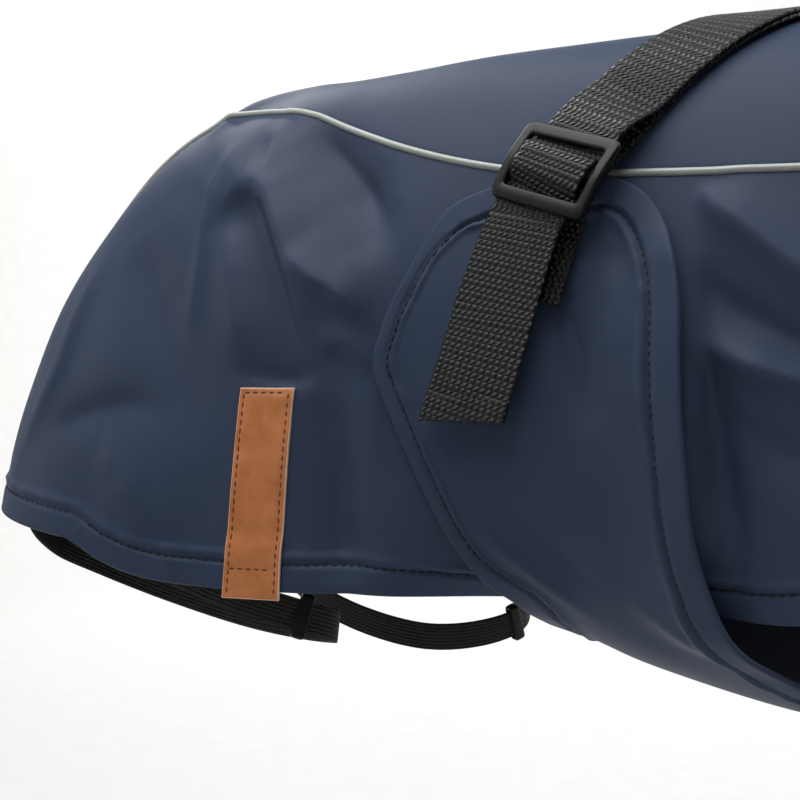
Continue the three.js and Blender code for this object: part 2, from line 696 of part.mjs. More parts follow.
// Elastic leg loops. The ends are sewn inside the skirt; between them the band hangs round the thigh.
const RIGHT_LOOP = {
  side: 1,
  centre: [-125, -60],
  front: [[-142, -193], [-130, -198]],
  free: [
    [-112, -87.2, -206.5],
    [-92, -86.5, -213],
    [-70, -80, -220],
    [-57.5, -68, -226],
    [-64, -53, -230],
    [-85, -41, -232],
    [-115, -34, -230],
    [-150, -37, -221],
    [-176, -50, -209],
    [-190, -64, -199],
  ],
  rear: [[-194, -185], [-197, -177.5]],
  slideAt: 0.33,
};
const LEFT_LOOP = {
  side: -1,
  centre: [-90, 60],
  front: [[-84, -195], [-72, -200]],
  free: [
    [-52, 86, -212],
    [-32, 80.5, -225],
    [-19, 68, -235],
    [-19, 54, -241],
    [-32, 42, -246],
    [-56, 33, -248],
    [-86, 29, -242],
    [-116, 33, -231],
    [-142, 49, -217],
    [-158, 70, -205.5],
  ],
  rear: [[-168, -187], [-171, -178]],
  slideAt: 0.4,
};
function loopSteps(loop) {
  const sunk = -(SEAM + ELASTIC.thick / 2 + 0.8);
  const inside = ([x, z]) => {
    const [s, angle] = placeAt(x, z);
    return coat(s, loop.side * angle, sunk);
  };
  const free = loop.free.map((p) => new THREE.Vector3(...p));
  const points = [...loop.front.map(inside), ...free, ...loop.rear.map(inside)];
  const normals = [loop.front[0], loop.rear[1]].map(([x, z]) => {
    const [s, angle] = placeAt(x, z);
    return coat(s, loop.side * angle, 1).sub(coat(s, loop.side * angle, 0)).normalize();
  });
  const curve = new THREE.CatmullRomCurve3(points, false, "centripetal");
  const count = 44;
  const [cx, cy] = loop.centre;
  return Array.from({ length: count + 1 }, (_, i) => {
    const middle = curve.getPoint(i / count);
    const along = curve.getTangent(i / count);
    const away = new THREE.Vector3(middle.x - cx, (middle.y - cy) * 2.2, 0).normalize();
    away.lerp(normals[0], smooth((0.2 - i / count) / 0.1)).lerp(normals[1], smooth((i / count - 0.82) / 0.1));
    const across = along.clone().cross(away).normalize();
    return { middle, across, out: across.clone().cross(along).normalize() };
  });
}

// Small slide on an elastic: a flat frame that the band runs through.
function loopSlide(loop) {
  const steps = loopSteps(loop);
  const { middle, across, out } = steps[Math.round(loop.slideAt * (steps.length - 1))];
  const along = across.clone().cross(out).normalize();
  const frame = roundedRectangle(ELASTIC.width + 5.4, ELASTIC.thick + 3.4, 0.8, THREE.Shape);
  const slot = roundedRectangle(ELASTIC.width + 1.8, ELASTIC.thick + 1.3, 0.3, THREE.Path);
  frame.holes.push(new THREE.Path(slot.getPoints(2)));
  const geometry = new THREE.ExtrudeGeometry(frame, { depth: 5, curveSegments: 2, bevelEnabled: false });
  geometry.translate(0, 0, -2.5);
  return geometry.applyMatrix4(new THREE.Matrix4().makeBasis(across, out, along).setPosition(middle));
}

add("back_panel", backPanel(), "cloth");
add("side_panel_right", sidePanel(1), "cloth");
add("side_panel_left", sidePanel(-1), "cloth");
add("piping_right", piping(1), "piping");
add("piping_left", piping(-1), "piping");
add("belly_apron", bellyApron(), "cloth");
add("leather_label", label(), "leather");
add("belt_webbing", belt(), "webbing");
add("belt_slide", slide(), "plastic");
add("belt_ring", wireRing(), "plastic");
add("ring_tab", ringTab(), "webbing");
add("leg_loop_right", ribbon(loopSteps(RIGHT_LOOP), ELASTIC.width, ELASTIC.thick), "elastic");
add("leg_loop_left", ribbon(loopSteps(LEFT_LOOP), ELASTIC.width, ELASTIC.thick), "elastic");
add("loop_slide_right", loopSlide(RIGHT_LOOP), "plastic");
add("loop_slide_left", loopSlide(LEFT_LOOP), "plastic");

export default raincoat;
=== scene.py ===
"""Dog raincoat: navy coated cloth with piped seams, a belly apron, a back belt and leg elastics.

Lengths are in millimetres in the row frame, +X to the head and -Y the dog's right, and become metres
when a mesh is made. Cloth, belt and elastics follow the same forms as the solids they stand for.
"""

import bpy
import numpy as np
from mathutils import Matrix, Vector


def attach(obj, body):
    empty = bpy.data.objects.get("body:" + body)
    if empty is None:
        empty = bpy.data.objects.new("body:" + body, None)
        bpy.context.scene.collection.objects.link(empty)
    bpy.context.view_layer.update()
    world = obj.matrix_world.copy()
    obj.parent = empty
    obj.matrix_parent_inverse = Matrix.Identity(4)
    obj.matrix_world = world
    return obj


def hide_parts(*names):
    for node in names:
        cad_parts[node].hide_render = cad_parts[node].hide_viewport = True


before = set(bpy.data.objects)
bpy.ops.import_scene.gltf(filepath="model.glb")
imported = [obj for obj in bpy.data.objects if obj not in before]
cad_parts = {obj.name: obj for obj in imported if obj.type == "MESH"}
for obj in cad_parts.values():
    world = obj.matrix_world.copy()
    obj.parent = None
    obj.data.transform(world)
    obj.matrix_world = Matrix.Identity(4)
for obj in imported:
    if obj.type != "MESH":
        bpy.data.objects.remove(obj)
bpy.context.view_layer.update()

METRE = 0.001
# Cloth wall, rise of the turned hem, stitch row from the edge and stitch pitch; piping, belt, gap between
# pieces that lie on each other, and elastic.
CLOTH = 1.5
HEM_RISE = 0.7
STITCH_IN = 10.5
STITCH_PITCH = 3.4
PIPING = 2.8
BELT_WIDTH = 30.0
BELT_THICK = 1.5
RIB_PITCH = 4.1
SEAM = 0.3
ELASTIC_WIDTH = 12.0
ELASTIC_THICK = 1.5
APRON_LIFT = CLOTH + HEM_RISE + 1
# Height on a ring below which it is drawn in, roundness of the belly, and height of the trunk's middle.
SHOULDER = 0.47
BELLY_ROUND = 2.35
TRUNK_MIDDLE_Z = -120.0
# Where the apron is drawn to the chest's hem: x, turn, ring at its end, share of its width, and gap.
CHEST_FROM, CHEST_TURN, CHEST_RING, CHEST_SHARE, CHEST_GAP = 150, 21, 1.4, 0.72, 0.2

# Rings of the coat from the neck to the rear hem: ridge x and z, base x and z, half width, roundness,
# hang, angle of the piping from the ridge, and height of the lower edge.
RINGS = np.array([
    [195, 12, 230, -40, 66, 2.0, 1, 62, -190],
    [178, 6, 222, -92, 79, 2.1, 1, 58, -190],
    [158, 3, 196, -150, 89, 2.2, 1, 55, -201],
    [136, 1.5, 158, -194, 94, 2.4, 1, 52, -206],
    [110, 1.2, 118, -211, 96, 2.5, 0.5, 51, -211],
    [70, 1.5, 70, -211, 95, 2.5, 0, 50.5, -211],
    [20, 0.7, 20, -211, 92, 2.5, 0.1, 48.5, -211],
    [-30, -1.4, -30, -211, 90, 2.5, 0.8, 41.5, -211],
    [-80, -6, -80, -211, 91, 2.5, 1, 27.8, -211],
    [-120, -14, -107, -210, 92, 2.5, 1, 21.5, -210],
    [-151, -30, -124, -208.5, 92, 2.5, 1, 20, -208.5],
    [-177, -54, -136, -206, 92, 2.4, 1, 18.5, -206],
    [-199, -84, -145, -203, 91.5, 2.4, 1, 18.5, -203],
    [-215, -117, -152, -200, 91, 2.3, 1, 19, -200],
    [-226, -151, -157, -197.5, 91, 2.3, 1, 20, -197.5],
    [-232, -184, -161, -195, 91, 2.3, 1, 22, -195],
])
RIDGE_X, RIDGE_Z, BASE_X, BASE_Z, HALF_WIDTH, ROUND, HANG, PIPED, HEM_Z = range(9)
LAST = len(RINGS) - 1
FIRST_UPRIGHT = 4
UPRIGHT = RINGS[FIRST_UPRIGHT:9]

# Lowest line of the belly apron, x and z.
BELLY_LINE = np.array([
    [-80, -219], [-30, -219], [0, -221], [30, -228], [60, -239],
    [110, -251], [150, -254], [190, -249], [225, -232], [264, -196.5],
])

# Outline of half the belly apron: turn round the trunk, rear x and front x.
APRON = np.array([
    [111.5, 10, 54], [108.5, -5, 65], [103, -13, 73], [96, -21, 78], [90, -27, 80], [84, -30, 80.5],
    [75, -23, 82], [61, -13, 86], [48, -5, 95], [37, 3, 108], [30, 12, 130], [25, 16, 160],
    [21, 19, 205], [18, 20, 240], [16, 21, 252], [8, 23, 260], [0, 24, 263],
])
TURN, REAR_X, FRONT_X = range(3)


def clamp01(value):
    return np.clip(value, 0, 1)


def smooth(value):
    """3 t^2 - 2 t^3 of the value held between 0 and 1."""
    t = clamp01(value)
    return t * t * (3 - 2 * t)


def mix(a, b, share):
    return a + (b - a) * share


def unit(vectors):
    return vectors / np.maximum(np.linalg.norm(vectors, axis=-1, keepdims=True), 1e-9)


def between(rows, place):
    """Row at each place, every column along a Catmull-Rom curve through the rows."""
    last = len(rows) - 1
    at = np.clip(np.asarray(place, float), 0, last - 1e-9)
    i = at.astype(int)
    t = (at - i)[..., None]
    a, b, c, d = (rows[np.clip(i + k, 0, last)] for k in (-1, 0, 1, 2))
    square = (2 * a - 5 * b + 4 * c - d) * t * t
    cube = (3 * b - a - 3 * c + d) * t * t * t
    return 0.5 * (2 * b + (c - a) * t + square + cube)


def place_of(rows, column, value):
    """Place at which a rising or falling column has the value."""
    place = np.linspace(0, len(rows) - 1, 4001)
    column_values = between(rows, place)[:, column]
    step = 1 if column_values[-1] > column_values[0] else -1
    return np.interp(value, column_values[::step], place[::step])


def belly_z(x):
    return between(BELLY_LINE, place_of(BELLY_LINE, 0, x))[..., 1]


def hem_angle(s):
    """Ring angle of the lower edge, 180 where the chest is closed."""
    ring = between(RINGS, s)
    height = np.clip((ring[..., HEM_Z] - ring[..., BASE_Z]) / (ring[..., RIDGE_Z] - ring[..., BASE_Z]), -1, 0)
    return np.degrees(np.arccos(-(np.abs(height) ** (ring[..., ROUND] / 2))))


def drawn_in(height, lowest, hang):
    """Share of the full width: 1 down to the shoulder, then a round belly where the skirt doesn't hang."""
    depth = clamp01((SHOULDER - height) / (SHOULDER - lowest))
    belly = (1 - depth ** BELLY_ROUND) ** (1 / BELLY_ROUND)
    return hang + (1 - hang) * belly


def coat_form(s, angle):
    """Point of ring s at an angle from the ridge: x and z run from base to ridge by |cos|^(2/round), and
    y is the half width times |sin|^(2/round), drawn in under the belly. Positive angles lie at -Y."""
    s, angle = np.broadcast_arrays(np.asarray(s, float), np.asarray(angle, float))
    angle = np.where(np.abs(angle) > 180, angle - 360 * np.sign(angle), angle)
    ring = between(RINGS, s)
    power = 2 / ring[..., ROUND]
    cosine = np.cos(np.radians(angle))
    height = np.sign(cosine) * np.abs(cosine) ** power
    across = np.abs(np.sin(np.radians(angle))) ** power
    x = mix(ring[..., BASE_X], ring[..., RIDGE_X], height)
    z = mix(ring[..., BASE_Z], ring[..., RIDGE_Z], height)
    lowest = (belly_z(x) - ring[..., BASE_Z]) / (ring[..., RIDGE_Z] - ring[..., BASE_Z])
    y = ring[..., HALF_WIDTH] * across * drawn_in(height, lowest, ring[..., HANG])
    return np.stack([x, -np.sign(angle) * y, z], -1)


def trunk_form(x, turn):
    """Point of the upright trunk at x, turned round it: 0 belly, 90 right shoulder, 180 ridge, 360 belly."""
    x, turn = np.broadcast_arrays(np.asarray(x, float), np.asarray(turn, float))
    turn = np.where((turn < 0) | (turn > 360), turn - 360 * np.sign(turn), turn)
    ring = between(UPRIGHT, place_of(UPRIGHT, BASE_X, np.clip(x, -80, 118)))
    half = np.where(turn > 180, 360 - turn, turn)
    tall = ring[..., RIDGE_Z] - ring[..., BASE_Z]
    lowest = (belly_z(x) - ring[..., BASE_Z]) / tall
    power = ring[..., ROUND]
    shoulder = np.arccos(SHOULDER ** (power / 2))
    above = np.abs(np.cos(shoulder * (180 - half) / 90)) ** (2 / power)
    depth = np.abs(np.cos(np.radians(half))) ** (2 / BELLY_ROUND)
    below = mix(SHOULDER, lowest, depth)
    upper = half > 90
    height = np.where(upper, above, below)
    free = smooth((below - lowest) / np.maximum(0.03, -lowest)) * smooth((132 - x) / 20)
    hang = clamp01(ring[..., HANG]) * np.where(upper, 1, free)
    across = np.where(height > 0, (1 - np.maximum(height, 0) ** power) ** (1 / power), 1)
    y = ring[..., HALF_WIDTH] * across * drawn_in(height, lowest, hang)
    z = mix(ring[..., BASE_Z], ring[..., RIDGE_Z], height)
    return np.stack([x, np.where(turn > 180, y, -y), z], -1)


# Folds of the coat in the side view. Each is a line of (x, z) points, the width of its slope above or
# behind the line and below or before it, and its heights along the line, negative for a trough.
RIGHT_FOLDS = [
    ([(-105, -70), (-96, -59), (-84, -61), (-75, -74), (-68, -89), (-62, -103), (-58, -117), (-53, -132)],
     20, 3.2, (1.5, 6, 10, 11.5, 11, 9.5, 7, 4)),
    ([(-72, -33), (-57, -43), (-42, -59), (-27, -78), (-21, -92)], 7, 13, (-4, -8, -9.5, -8, -3)),
    ([(-68, -88), (-56, -97), (-44, -104), (-31, -114)], 12, 3, (2, 6, 6.5, 2)),
    ([(-98, -72), (-94, -90), (-89, -110), (-85, -127)], 10, 5, (2.5, 5, 5, 2.5)),
    ([(-53, -123), (-43, -119), (-32, -131)], 7, 2.6, (2, 4, 2)),
    ([(-105, -44), (-108, -62), (-109, -88), (-112, -120)], 4, 2.6, (2, 2.8, 1.8, 0.8)),
    ([(-90, -36), (-86, -48), (-84, -58)], 3, 3, (-1.2, -1.6, -0.6)),
    ([(-124, -32), (-104, -17), (-82, -10), (-66, -8)], 4, 3, (1, 2.6, 2, 0.8)),
    ([(-140, -74), (-124, -106), (-108, -142), (-98, -160)], 12, 17, (-3, -5, -4, -2)),
    ([(-160, -80), (-169, -106), (-176, -130), (-196, -164)], 4, 7, (1.8, 3.2, 2.6, 1.4)),
    ([(-176, -152), (-155, -144), (-134, -141), (-118, -148)], 6, 9, (-1.2, -2.8, -2.8, -1)),
    ([(-150, -160), (-132, -168), (-124, -196)], 13, 13, (1, 3, 2)),
    ([(-88, -128), (-74, -131), (-56, -131)], 5, 3.4, (-1.5, -4, -3)),
    ([(-54, -134), (-48, -156), (-46, -182), (-45, -208)], 12, 10, (-2.5, -6, -8, -9)),
    ([(-36, -132), (-31, -150), (-32, -172)], 6, 8, (1.8, 3.4, 1.6)),
    ([(-30, -150), (-22, -176), (-24, -204)], 6, 6, (-0.8, -1.8, -1)),
    ([(-118, -172), (-114, -190), (-114, -210)], 4, 5, (0.3, 1.2, 0.8)),
    ([(-56, -186), (-60, -198), (-58, -210)], 3.5, 4, (0.4, 1, 0.6)),
    ([(74, -66), (96, -83), (116, -100), (136, -112)], 9, 5, (2, 6.5, 6.5, 3)),
    ([(78, -96), (98, -111), (118, -122), (140, -130)], 6, 8, (-2, -5.5, -5.5, -2)),
    ([(80, -119), (103, -130), (126, -137)], 7, 4.5, (2.5, 6, 3)),
    ([(88, -142), (108, -154), (132, -166)], 12, 10, (-2, -5, -3)),
    ([(83, -108), (86, -126), (90, -154), (96, -192)], 7, 12, (-1.5, -6.5, -9, -6)),
    ([(150, -60), (186, -92), (215, -120)], 13, 8, (2.5, 5, 3)),
    ([(164, -110), (186, -140), (200, -166)], 10, 14, (-1, -2.5, -1.5)),
]
LEFT_FOLDS = [
    ([(-88, -42), (-76, -66), (-60, -92), (-38, -120), (-20, -140)], 17, 9, (3, 9, 11, 8, 3)),
    ([(-106, -48), (-94, -72), (-80, -100), (-70, -134)], 8, 9, (-2, -5.5, -6.5, -3)),
    ([(-126, -58), (-108, -96), (-92, -134)], 11, 10.8, (3.4, 7.6, 4.2)),
    ([(-150, -80), (-134, -116), (-116, -152)], 9.3, 10.8, (-5.1, -9.3, -5.1)),
    ([(-172, -92), (-178, -122), (-170, -160)], 4.2, 5.8, (1.7, 4.1, 2.4)),
    ([(-164, -150), (-142, -146), (-120, -156)], 5.1, 6.5, (-1, -3.4, -1.4)),
    ([(-70, -136), (-60, -162), (-54, -196)], 8.5, 8.7, (-2.5, -5.1, -2.5)),
    ([(-44, -146), (-40, -170), (-44, -204)], 7.6, 6.5, (2.5, 5.8, 3.1)),
    ([(-100, -168), (-96, -190), (-98, -210)], 3.4, 3.6, (0.7, 2, 1.4)),
    ([(76, -70), (98, -92), (124, -110)], 7.6, 6.5, (3.4, 7.6, 3.4)),
    ([(74, -98), (106, -120), (144, -138)], 9, 10, (-3, -6.5, -3)),
    ([(86, -128), (110, -142), (134, -152)], 6, 7.2, (2.5, 6.5, 2.5)),
    ([(148, -64), (178, -98), (205, -134)], 11.9, 10.8, (2.5, 5.1, 3.4)),
    ([(170, -116), (190, -146), (204, -168)], 8.5, 9.4, (-1.7, -3.7, -1.7)),
]
# Folds of the apron's wings, in the same way.
RIGHT_WING_FOLDS = [
    ([(36, -96), (42, -122), (50, -152)], 8, 10, (-2.2, -4.4, -2.4)),
    ([(54, -92), (60, -118), (67, -148)], 7, 6, (1.2, 3.6, 2)),
    ([(-4, -176), (12, -188), (30, -202), (46, -216)], 3.8, 4.8, (0.6, 2.4, 2.7, 0.9)),
    ([(20, -176), (34, -190), (52, -206)], 5.7, 4.8, (-0.4, -1.5, -0.4)),
    ([(56, -204), (84, -217), (106, -234)], 4.8, 5.7, (0.8, 2.5, 1)),
]
LEFT_WING_FOLDS = [
    ([(30, -104), (30, -130), (26, -156)], 7.6, 8.1, (-1.6, -3.2, -1.6)),
    ([(50, -100), (52, -130), (50, -162)], 6.6, 6.5, (1.3, 2.9, 1.3)),
    ([(0, -178), (22, -194), (44, -214)], 4.8, 5.7, (0.6, 2.6, 1.3)),
    ([(60, -206), (84, -220), (104, -238)], 5.7, 5.7, (0.6, 2.2, 1)),
]


def fold_height(folds, x, z):
    """Sum over the folds of height times an exponential of the distance from the line over the width, its
    crest rounded, faded at both ends."""
    total = np.zeros_like(x)
    for line, behind, before, heights in folds:
        points = between(np.array(line, float), np.linspace(0, len(line) - 1, 13))
        steps = points[1:] - points[:-1]
        lengths = np.linalg.norm(steps, axis=1)
        place = np.stack([x, z], -1)[..., None, :] - points[:-1]
        share = clamp01((place * steps).sum(-1) / lengths ** 2)
        gap = place - share[..., None] * steps
        away = np.linalg.norm(gap, axis=-1)
        nearest = away.argmin(-1)[..., None]
        distance = np.take_along_axis(away, nearest, -1)[..., 0]
        side = np.take_along_axis(steps[:, 0] * gap[..., 1] - steps[:, 1] * gap[..., 0], nearest, -1)[..., 0]
        travelled = (np.concatenate([[0], np.cumsum(lengths)[:-1]]) + share * lengths) / lengths.sum()
        along = np.take_along_axis(travelled, nearest, -1)[..., 0]
        height = np.interp(along, np.linspace(0, 1, len(heights)), heights)
        fade = smooth(along / 0.3 + 0.35) * smooth((1 - along) / 0.4 + 0.35)
        width = np.where(side > 0, behind, before)
        crest = 0.35 * width
        total += height * fade * np.exp((crest - np.hypot(distance, crest)) / (0.8 * width))
    return total


def uneven(x, z, seed):
    """Slow waves of the cloth: a sum of sines of different lengths and directions, about 1 mm high."""
    draw = np.random.default_rng(seed)
    total = np.zeros_like(x)
    for length in (150, 96, 61, 43):
        heading, phase = draw.uniform(0, np.pi), draw.uniform(0, 2 * np.pi)
        travelled = x * np.cos(heading) + z * np.sin(heading)
        total += length / 260 * np.sin(2 * np.pi * travelled / length + phase)
    return total


def free_cloth(x, z):
    """Share of the folds that stays: little below the apron, none below the belt."""
    in_apron = smooth((x + 45) / 25) * smooth((88 - x) / 8) * smooth((-50 - z) / 15)
    in_belt = smooth((x - 15) / 15) * smooth((100 - x) / 12)
    return (1 - in_apron) * (1 - in_belt * smooth((z + 75) / 10))


def coat(s, angle):
    """Inner face of the coat with its folds, and the unit normal that points out of it."""
    s, angle = np.broadcast_arrays(np.asarray(s, float), np.asarray(angle, float))
    point = coat_form(s, angle)
    at = np.clip(s, 0.02, LAST - 0.02)
    along_s = coat_form(at + 0.02, angle) - coat_form(at - 0.02, angle)
    along_angle = coat_form(at, angle + 0.5) - coat_form(at, angle - 0.5)
    normal = unit(np.cross(along_s, along_angle))
    x, y, z = np.moveaxis(point, -1, 0)
    fold = np.where(angle > 0, fold_height(RIGHT_FOLDS, x, z), fold_height(LEFT_FOLDS, x, z))
    fold = fold * free_cloth(x, z) * smooth(np.abs(y) / 30)
    waves = np.where(angle > 0, uneven(x, z, 4), uneven(x, z, 9)) * smooth(np.abs(y) / 12)
    fold = fold + 0.6 * waves * free_cloth(x, z)
    return point + normal * fold[..., None], normal


def trunk(x, turn):
    """Point of the trunk's form and the unit normal that points out of it."""
    point = trunk_form(x, turn)
    along_x = trunk_form(x + 0.5, turn) - trunk_form(x - 0.5, turn)
    along_turn = trunk_form(x, turn + 0.5) - trunk_form(x, turn - 0.5)
    normal = unit(np.cross(along_x, along_turn))
    x_there = point[..., 0]
    middle = np.stack([x_there, np.zeros_like(x_there), np.full_like(x_there, TRUNK_MIDDLE_Z)], -1)
    flip = (normal * (point - middle)).sum(-1, keepdims=True) < 0
    return point, np.where(flip, -normal, normal)


def half_turn(turn):
    return np.where(turn > 180, 360 - turn, turn)


def apron_flare(x, turn):
    """How far the free front and rear edges of the wings stand off the coat."""
    half = half_turn(turn)
    high = smooth((108 - half) / 12) * smooth((half - 34) / 14)
    return 7 * smooth((x - 54) / 30) * high + 2 * smooth((-12 - x) / 18) * high


def apron(x, turn, share):
    """Inner face of the apron and its normal, brought to the hem of the chest at its front end."""
    point, normal = trunk(x, turn)
    z = point[..., 2]
    fold = np.where(turn < 180, fold_height(RIGHT_WING_FOLDS, x, z), fold_height(LEFT_WING_FOLDS, x, z))
    point = point + normal * (APRON_LIFT + apron_flare(x, turn) + fold)[..., None]
    half = half_turn(turn)
    s = 1.02 + (CHEST_RING - 1.02) * half / CHEST_TURN
    side = np.where(turn > 180, -1.0, 1.0)
    seam, seam_normal = coat(s, side * hem_angle(s))
    edge = coat_form(s + 0.04, side * hem_angle(s + 0.04)) - coat_form(s, side * hem_angle(s))
    away = unit(np.cross(edge, seam_normal) * -side[..., None])
    seam = seam + away * CHEST_GAP
    blend = smooth((share - CHEST_SHARE) / (1 - CHEST_SHARE))
    blend = np.where((x < CHEST_FROM) | (half > CHEST_TURN), 0, blend)[..., None]
    return mix(point, seam, blend), unit(mix(normal, seam_normal, blend))


def lengths_along(points, axis=0):
    """Running length of polylines along one axis of an array of points."""
    steps = np.linalg.norm(np.diff(points, axis=axis), axis=-1)
    start = np.zeros_like(np.take(steps, [0], axis=axis))
    return np.concatenate([start, np.cumsum(steps, axis=axis)], axis=axis)


def to_edges(points, edges):
    """Distance of every point from the nearest of the edge lines, and how far along them that lies."""
    starts = np.concatenate([line[:-1] for line in edges])
    steps = np.concatenate([line[1:] - line[:-1] for line in edges])
    size = np.linalg.norm(steps, axis=1)
    offset, before, between_edges = 0, [], 500
    for line in edges:
        run = lengths_along(line)
        before.append(offset + run[:-1])
        offset += run[-1] + between_edges
    before = np.concatenate(before)
    flat = points.reshape(-1, 3)
    away, along = np.empty(len(flat)), np.empty(len(flat))
    chunk = 5000
    for i in range(0, len(flat), chunk):
        gap = flat[i:i + chunk, None] - starts
        share = clamp01((gap * steps).sum(-1) / np.maximum(size ** 2, 1e-12))
        distance = np.linalg.norm(gap - share[..., None] * steps, axis=-1)
        best = distance.argmin(1)
        rows = np.arange(len(best))
        away[i:i + chunk] = distance[rows, best]
        along[i:i + chunk] = before[best] + share[rows, best] * size[best]
    return away.reshape(points.shape[:-1]), along.reshape(points.shape[:-1])


# Radius of a cut or turned edge.
EDGE_ROUND = 1.2


def rounded(distance, radius=EDGE_ROUND):
    """Quarter circle: 0 on the edge, 1 from the radius on."""
    return np.sqrt(1 - (1 - clamp01(distance / radius)) ** 2)


HEM_GROOVE, APRON_GROOVE = 0.45, 0.8
# Distance given where a piece has no seam near.
NO_SEAM = 100.0


def turned_hem(distance, groove_depth=HEM_GROOVE):
    """Height of the turned and topstitched hem over the cloth: a band, a groove at the stitches and a
    bead, each a smooth step or a bell curve of the distance from the edge."""
    band = 0.75 * smooth((STITCH_IN + 0.4 - distance) / 2.2)
    bead = 0.95 * np.exp(-(((distance - 13.6) / 1.7) ** 2))
    groove = groove_depth * np.exp(-(((distance - STITCH_IN - 0.2) / 0.9) ** 2))
    return band + bead - groove


def puckers(distance, along):
    """Small uneven waves that the stitches draw up beside the hem: two sines of different length, about
    0.3 mm high, fading 4 mm from the stitch line."""
    waves = np.sin(along / 1.9) + np.sin(along / 3.1 + 2 * np.sin(along / 37))
    return 0.16 * waves * np.exp(-(((distance - STITCH_IN - 2) / 4) ** 2))


def spread(total, start, end, count):
    """Distances along a length: close steps at its start and end, and count even steps between them."""
    total = np.asarray(total, float)[..., None]
    middle = np.linspace(0, 1, count + 1)[1:-1]
    inner = start[-1] + (total - start[-1] - end[-1]) * middle
    near_start = np.broadcast_to(start, inner.shape[:-1] + (len(start),))
    near_end = total - np.broadcast_to(end[::-1], inner.shape[:-1] + (len(end),))
    return np.concatenate([near_start, inner, near_end], -1)


# Distances of the first grid lines from a seam and from a hem.
SEAM_STEPS = np.array([0, 0.15, 0.45, 0.9, 1.5, 2.4, 3.6])
HEM_STEPS = np.concatenate([
    [0, 0.08, 0.25, 0.55, 0.9, 1.3], np.linspace(2.2, 8.4, 6), np.linspace(9, 17, 17),
])


# Materials.
COORDINATES, UV_MAP, SPLIT = "ShaderNodeTexCoord", "ShaderNodeUVMap", "ShaderNodeSeparateXYZ"
NOISE, CELLS, RAMP = "ShaderNodeTexNoise", "ShaderNodeTexVoronoi", "ShaderNodeValToRGB"
MATH, RANGE = "ShaderNodeMath", "ShaderNodeMapRange"
# Share of a noise that is spread over the whole of a roughness.
FROM_NOISE = {"From Min": 0.3, "From Max": 0.7}


def linear(hex_colour):
    """Linear red, green, blue and alpha of an sRGB hex colour."""
    srgb = np.array([int(hex_colour[i:i + 2], 16) for i in (1, 3, 5)]) / 255
    value = np.where(srgb <= 0.04045, srgb / 12.92, ((srgb + 0.055) / 1.055) ** 2.4)
    return (*value.tolist(), 1.0)


def per_metre(size_mm):
    """Scale of a pattern whose features are this many millimetres wide."""
    return 1000 / size_mm


def add(tree, kind, inputs=None, output=0, ramp=(), **settings):
    """Adds a node, sets its properties, fills its inputs with values or joins them to outputs, puts the
    sRGB colours of a ramp at their places, and returns one of its outputs."""
    node = tree.nodes.new(kind)
    for name, value in settings.items():
        setattr(node, name, value)
    for name, value in (inputs or {}).items():
        if isinstance(value, bpy.types.NodeSocket):
            tree.links.new(value, node.inputs[name])
        else:
            node.inputs[name].default_value = value
    for number, (place, colour) in enumerate(ramp):
        node.color_ramp.elements[number].position = place
        node.color_ramp.elements[number].color = linear(colour)
    return node.outputs[output] if len(node.outputs) else None


def new_material(name):
    material = bpy.data.materials.new(name)
    material.use_nodes = True
    material.node_tree.nodes.clear()
    return material, material.node_tree


def finish_material(tree, shader_inputs, height=None, distance=0.0001, strength=1.0):
    """Principled shader with the given inputs and, where a height is given, a bump of that depth in
    metres."""
    if height is not None:
        bump = {"Height": height, "Distance": distance, "Strength": strength}
        shader_inputs["Normal"] = add(tree, "ShaderNodeBump", bump)
    add(tree, "ShaderNodeOutputMaterial", {"Surface": add(tree, "ShaderNodeBsdfPrincipled", shader_inputs)})


def wave(tree, value, pitch, shift=0.0):
    """Sine of a length in metres with this pitch in millimetres."""
    turned = add(tree, MATH, {0: value, 1: 2000 * np.pi / pitch, 2: shift}, operation="MULTIPLY_ADD")
    return add(tree, MATH, {0: turned}, operation="SINE")


def woven_lengths(tree):
    """Lengths along and across a piece, from its UV map in metres."""
    lengths = add(tree, SPLIT, {"Vector": add(tree, UV_MAP)})
    return lengths.node.outputs["X"], lengths.node.outputs["Y"]


def coated_cloth():
    """Polyester with a soft polyurethane face: smooth and matt, with a faint grain and a broad soft gloss."""
    material, tree = new_material("polyurethane_coated_polyester")
    where = add(tree, COORDINATES, output="Object")
    clouds = add(tree, NOISE, {"Vector": where, "Scale": per_metre(55), "Detail": 3})
    grain = add(tree, NOISE, {"Vector": where, "Scale": per_metre(0.9), "Detail": 3, "Roughness": 0.6})
    finish_material(tree, {
        "Base Color": add(tree, RAMP, {"Fac": clouds}, ramp=((0.3, "#303b50"), (0.7, "#353f53"))),
        "Roughness": add(tree, RANGE, {"Value": clouds, **FROM_NOISE, "To Min": 0.46, "To Max": 0.54}),
        "Specular IOR Level": 0.1,
    }, grain, 0.00006, 0.6)
    return material


def cloth_back():
    """Woven polyester on the back of the coated cloth: dull, with the two thread directions just showing."""
    material, tree = new_material("woven_polyester_back")
    along, across = woven_lengths(tree)
    thread_pitch = 1.1
    threads = {0: wave(tree, along, thread_pitch), 1: wave(tree, across, thread_pitch)}
    weave = add(tree, MATH, threads, operation="MULTIPLY")
    colour = add(tree, RAMP, {"Fac": weave}, ramp=((0, "#20283b"), (1, "#2b3348")))
    finish_material(tree, {"Base Color": colour, "Roughness": 0.85}, weave, 0.00012, 0.7)
    return material


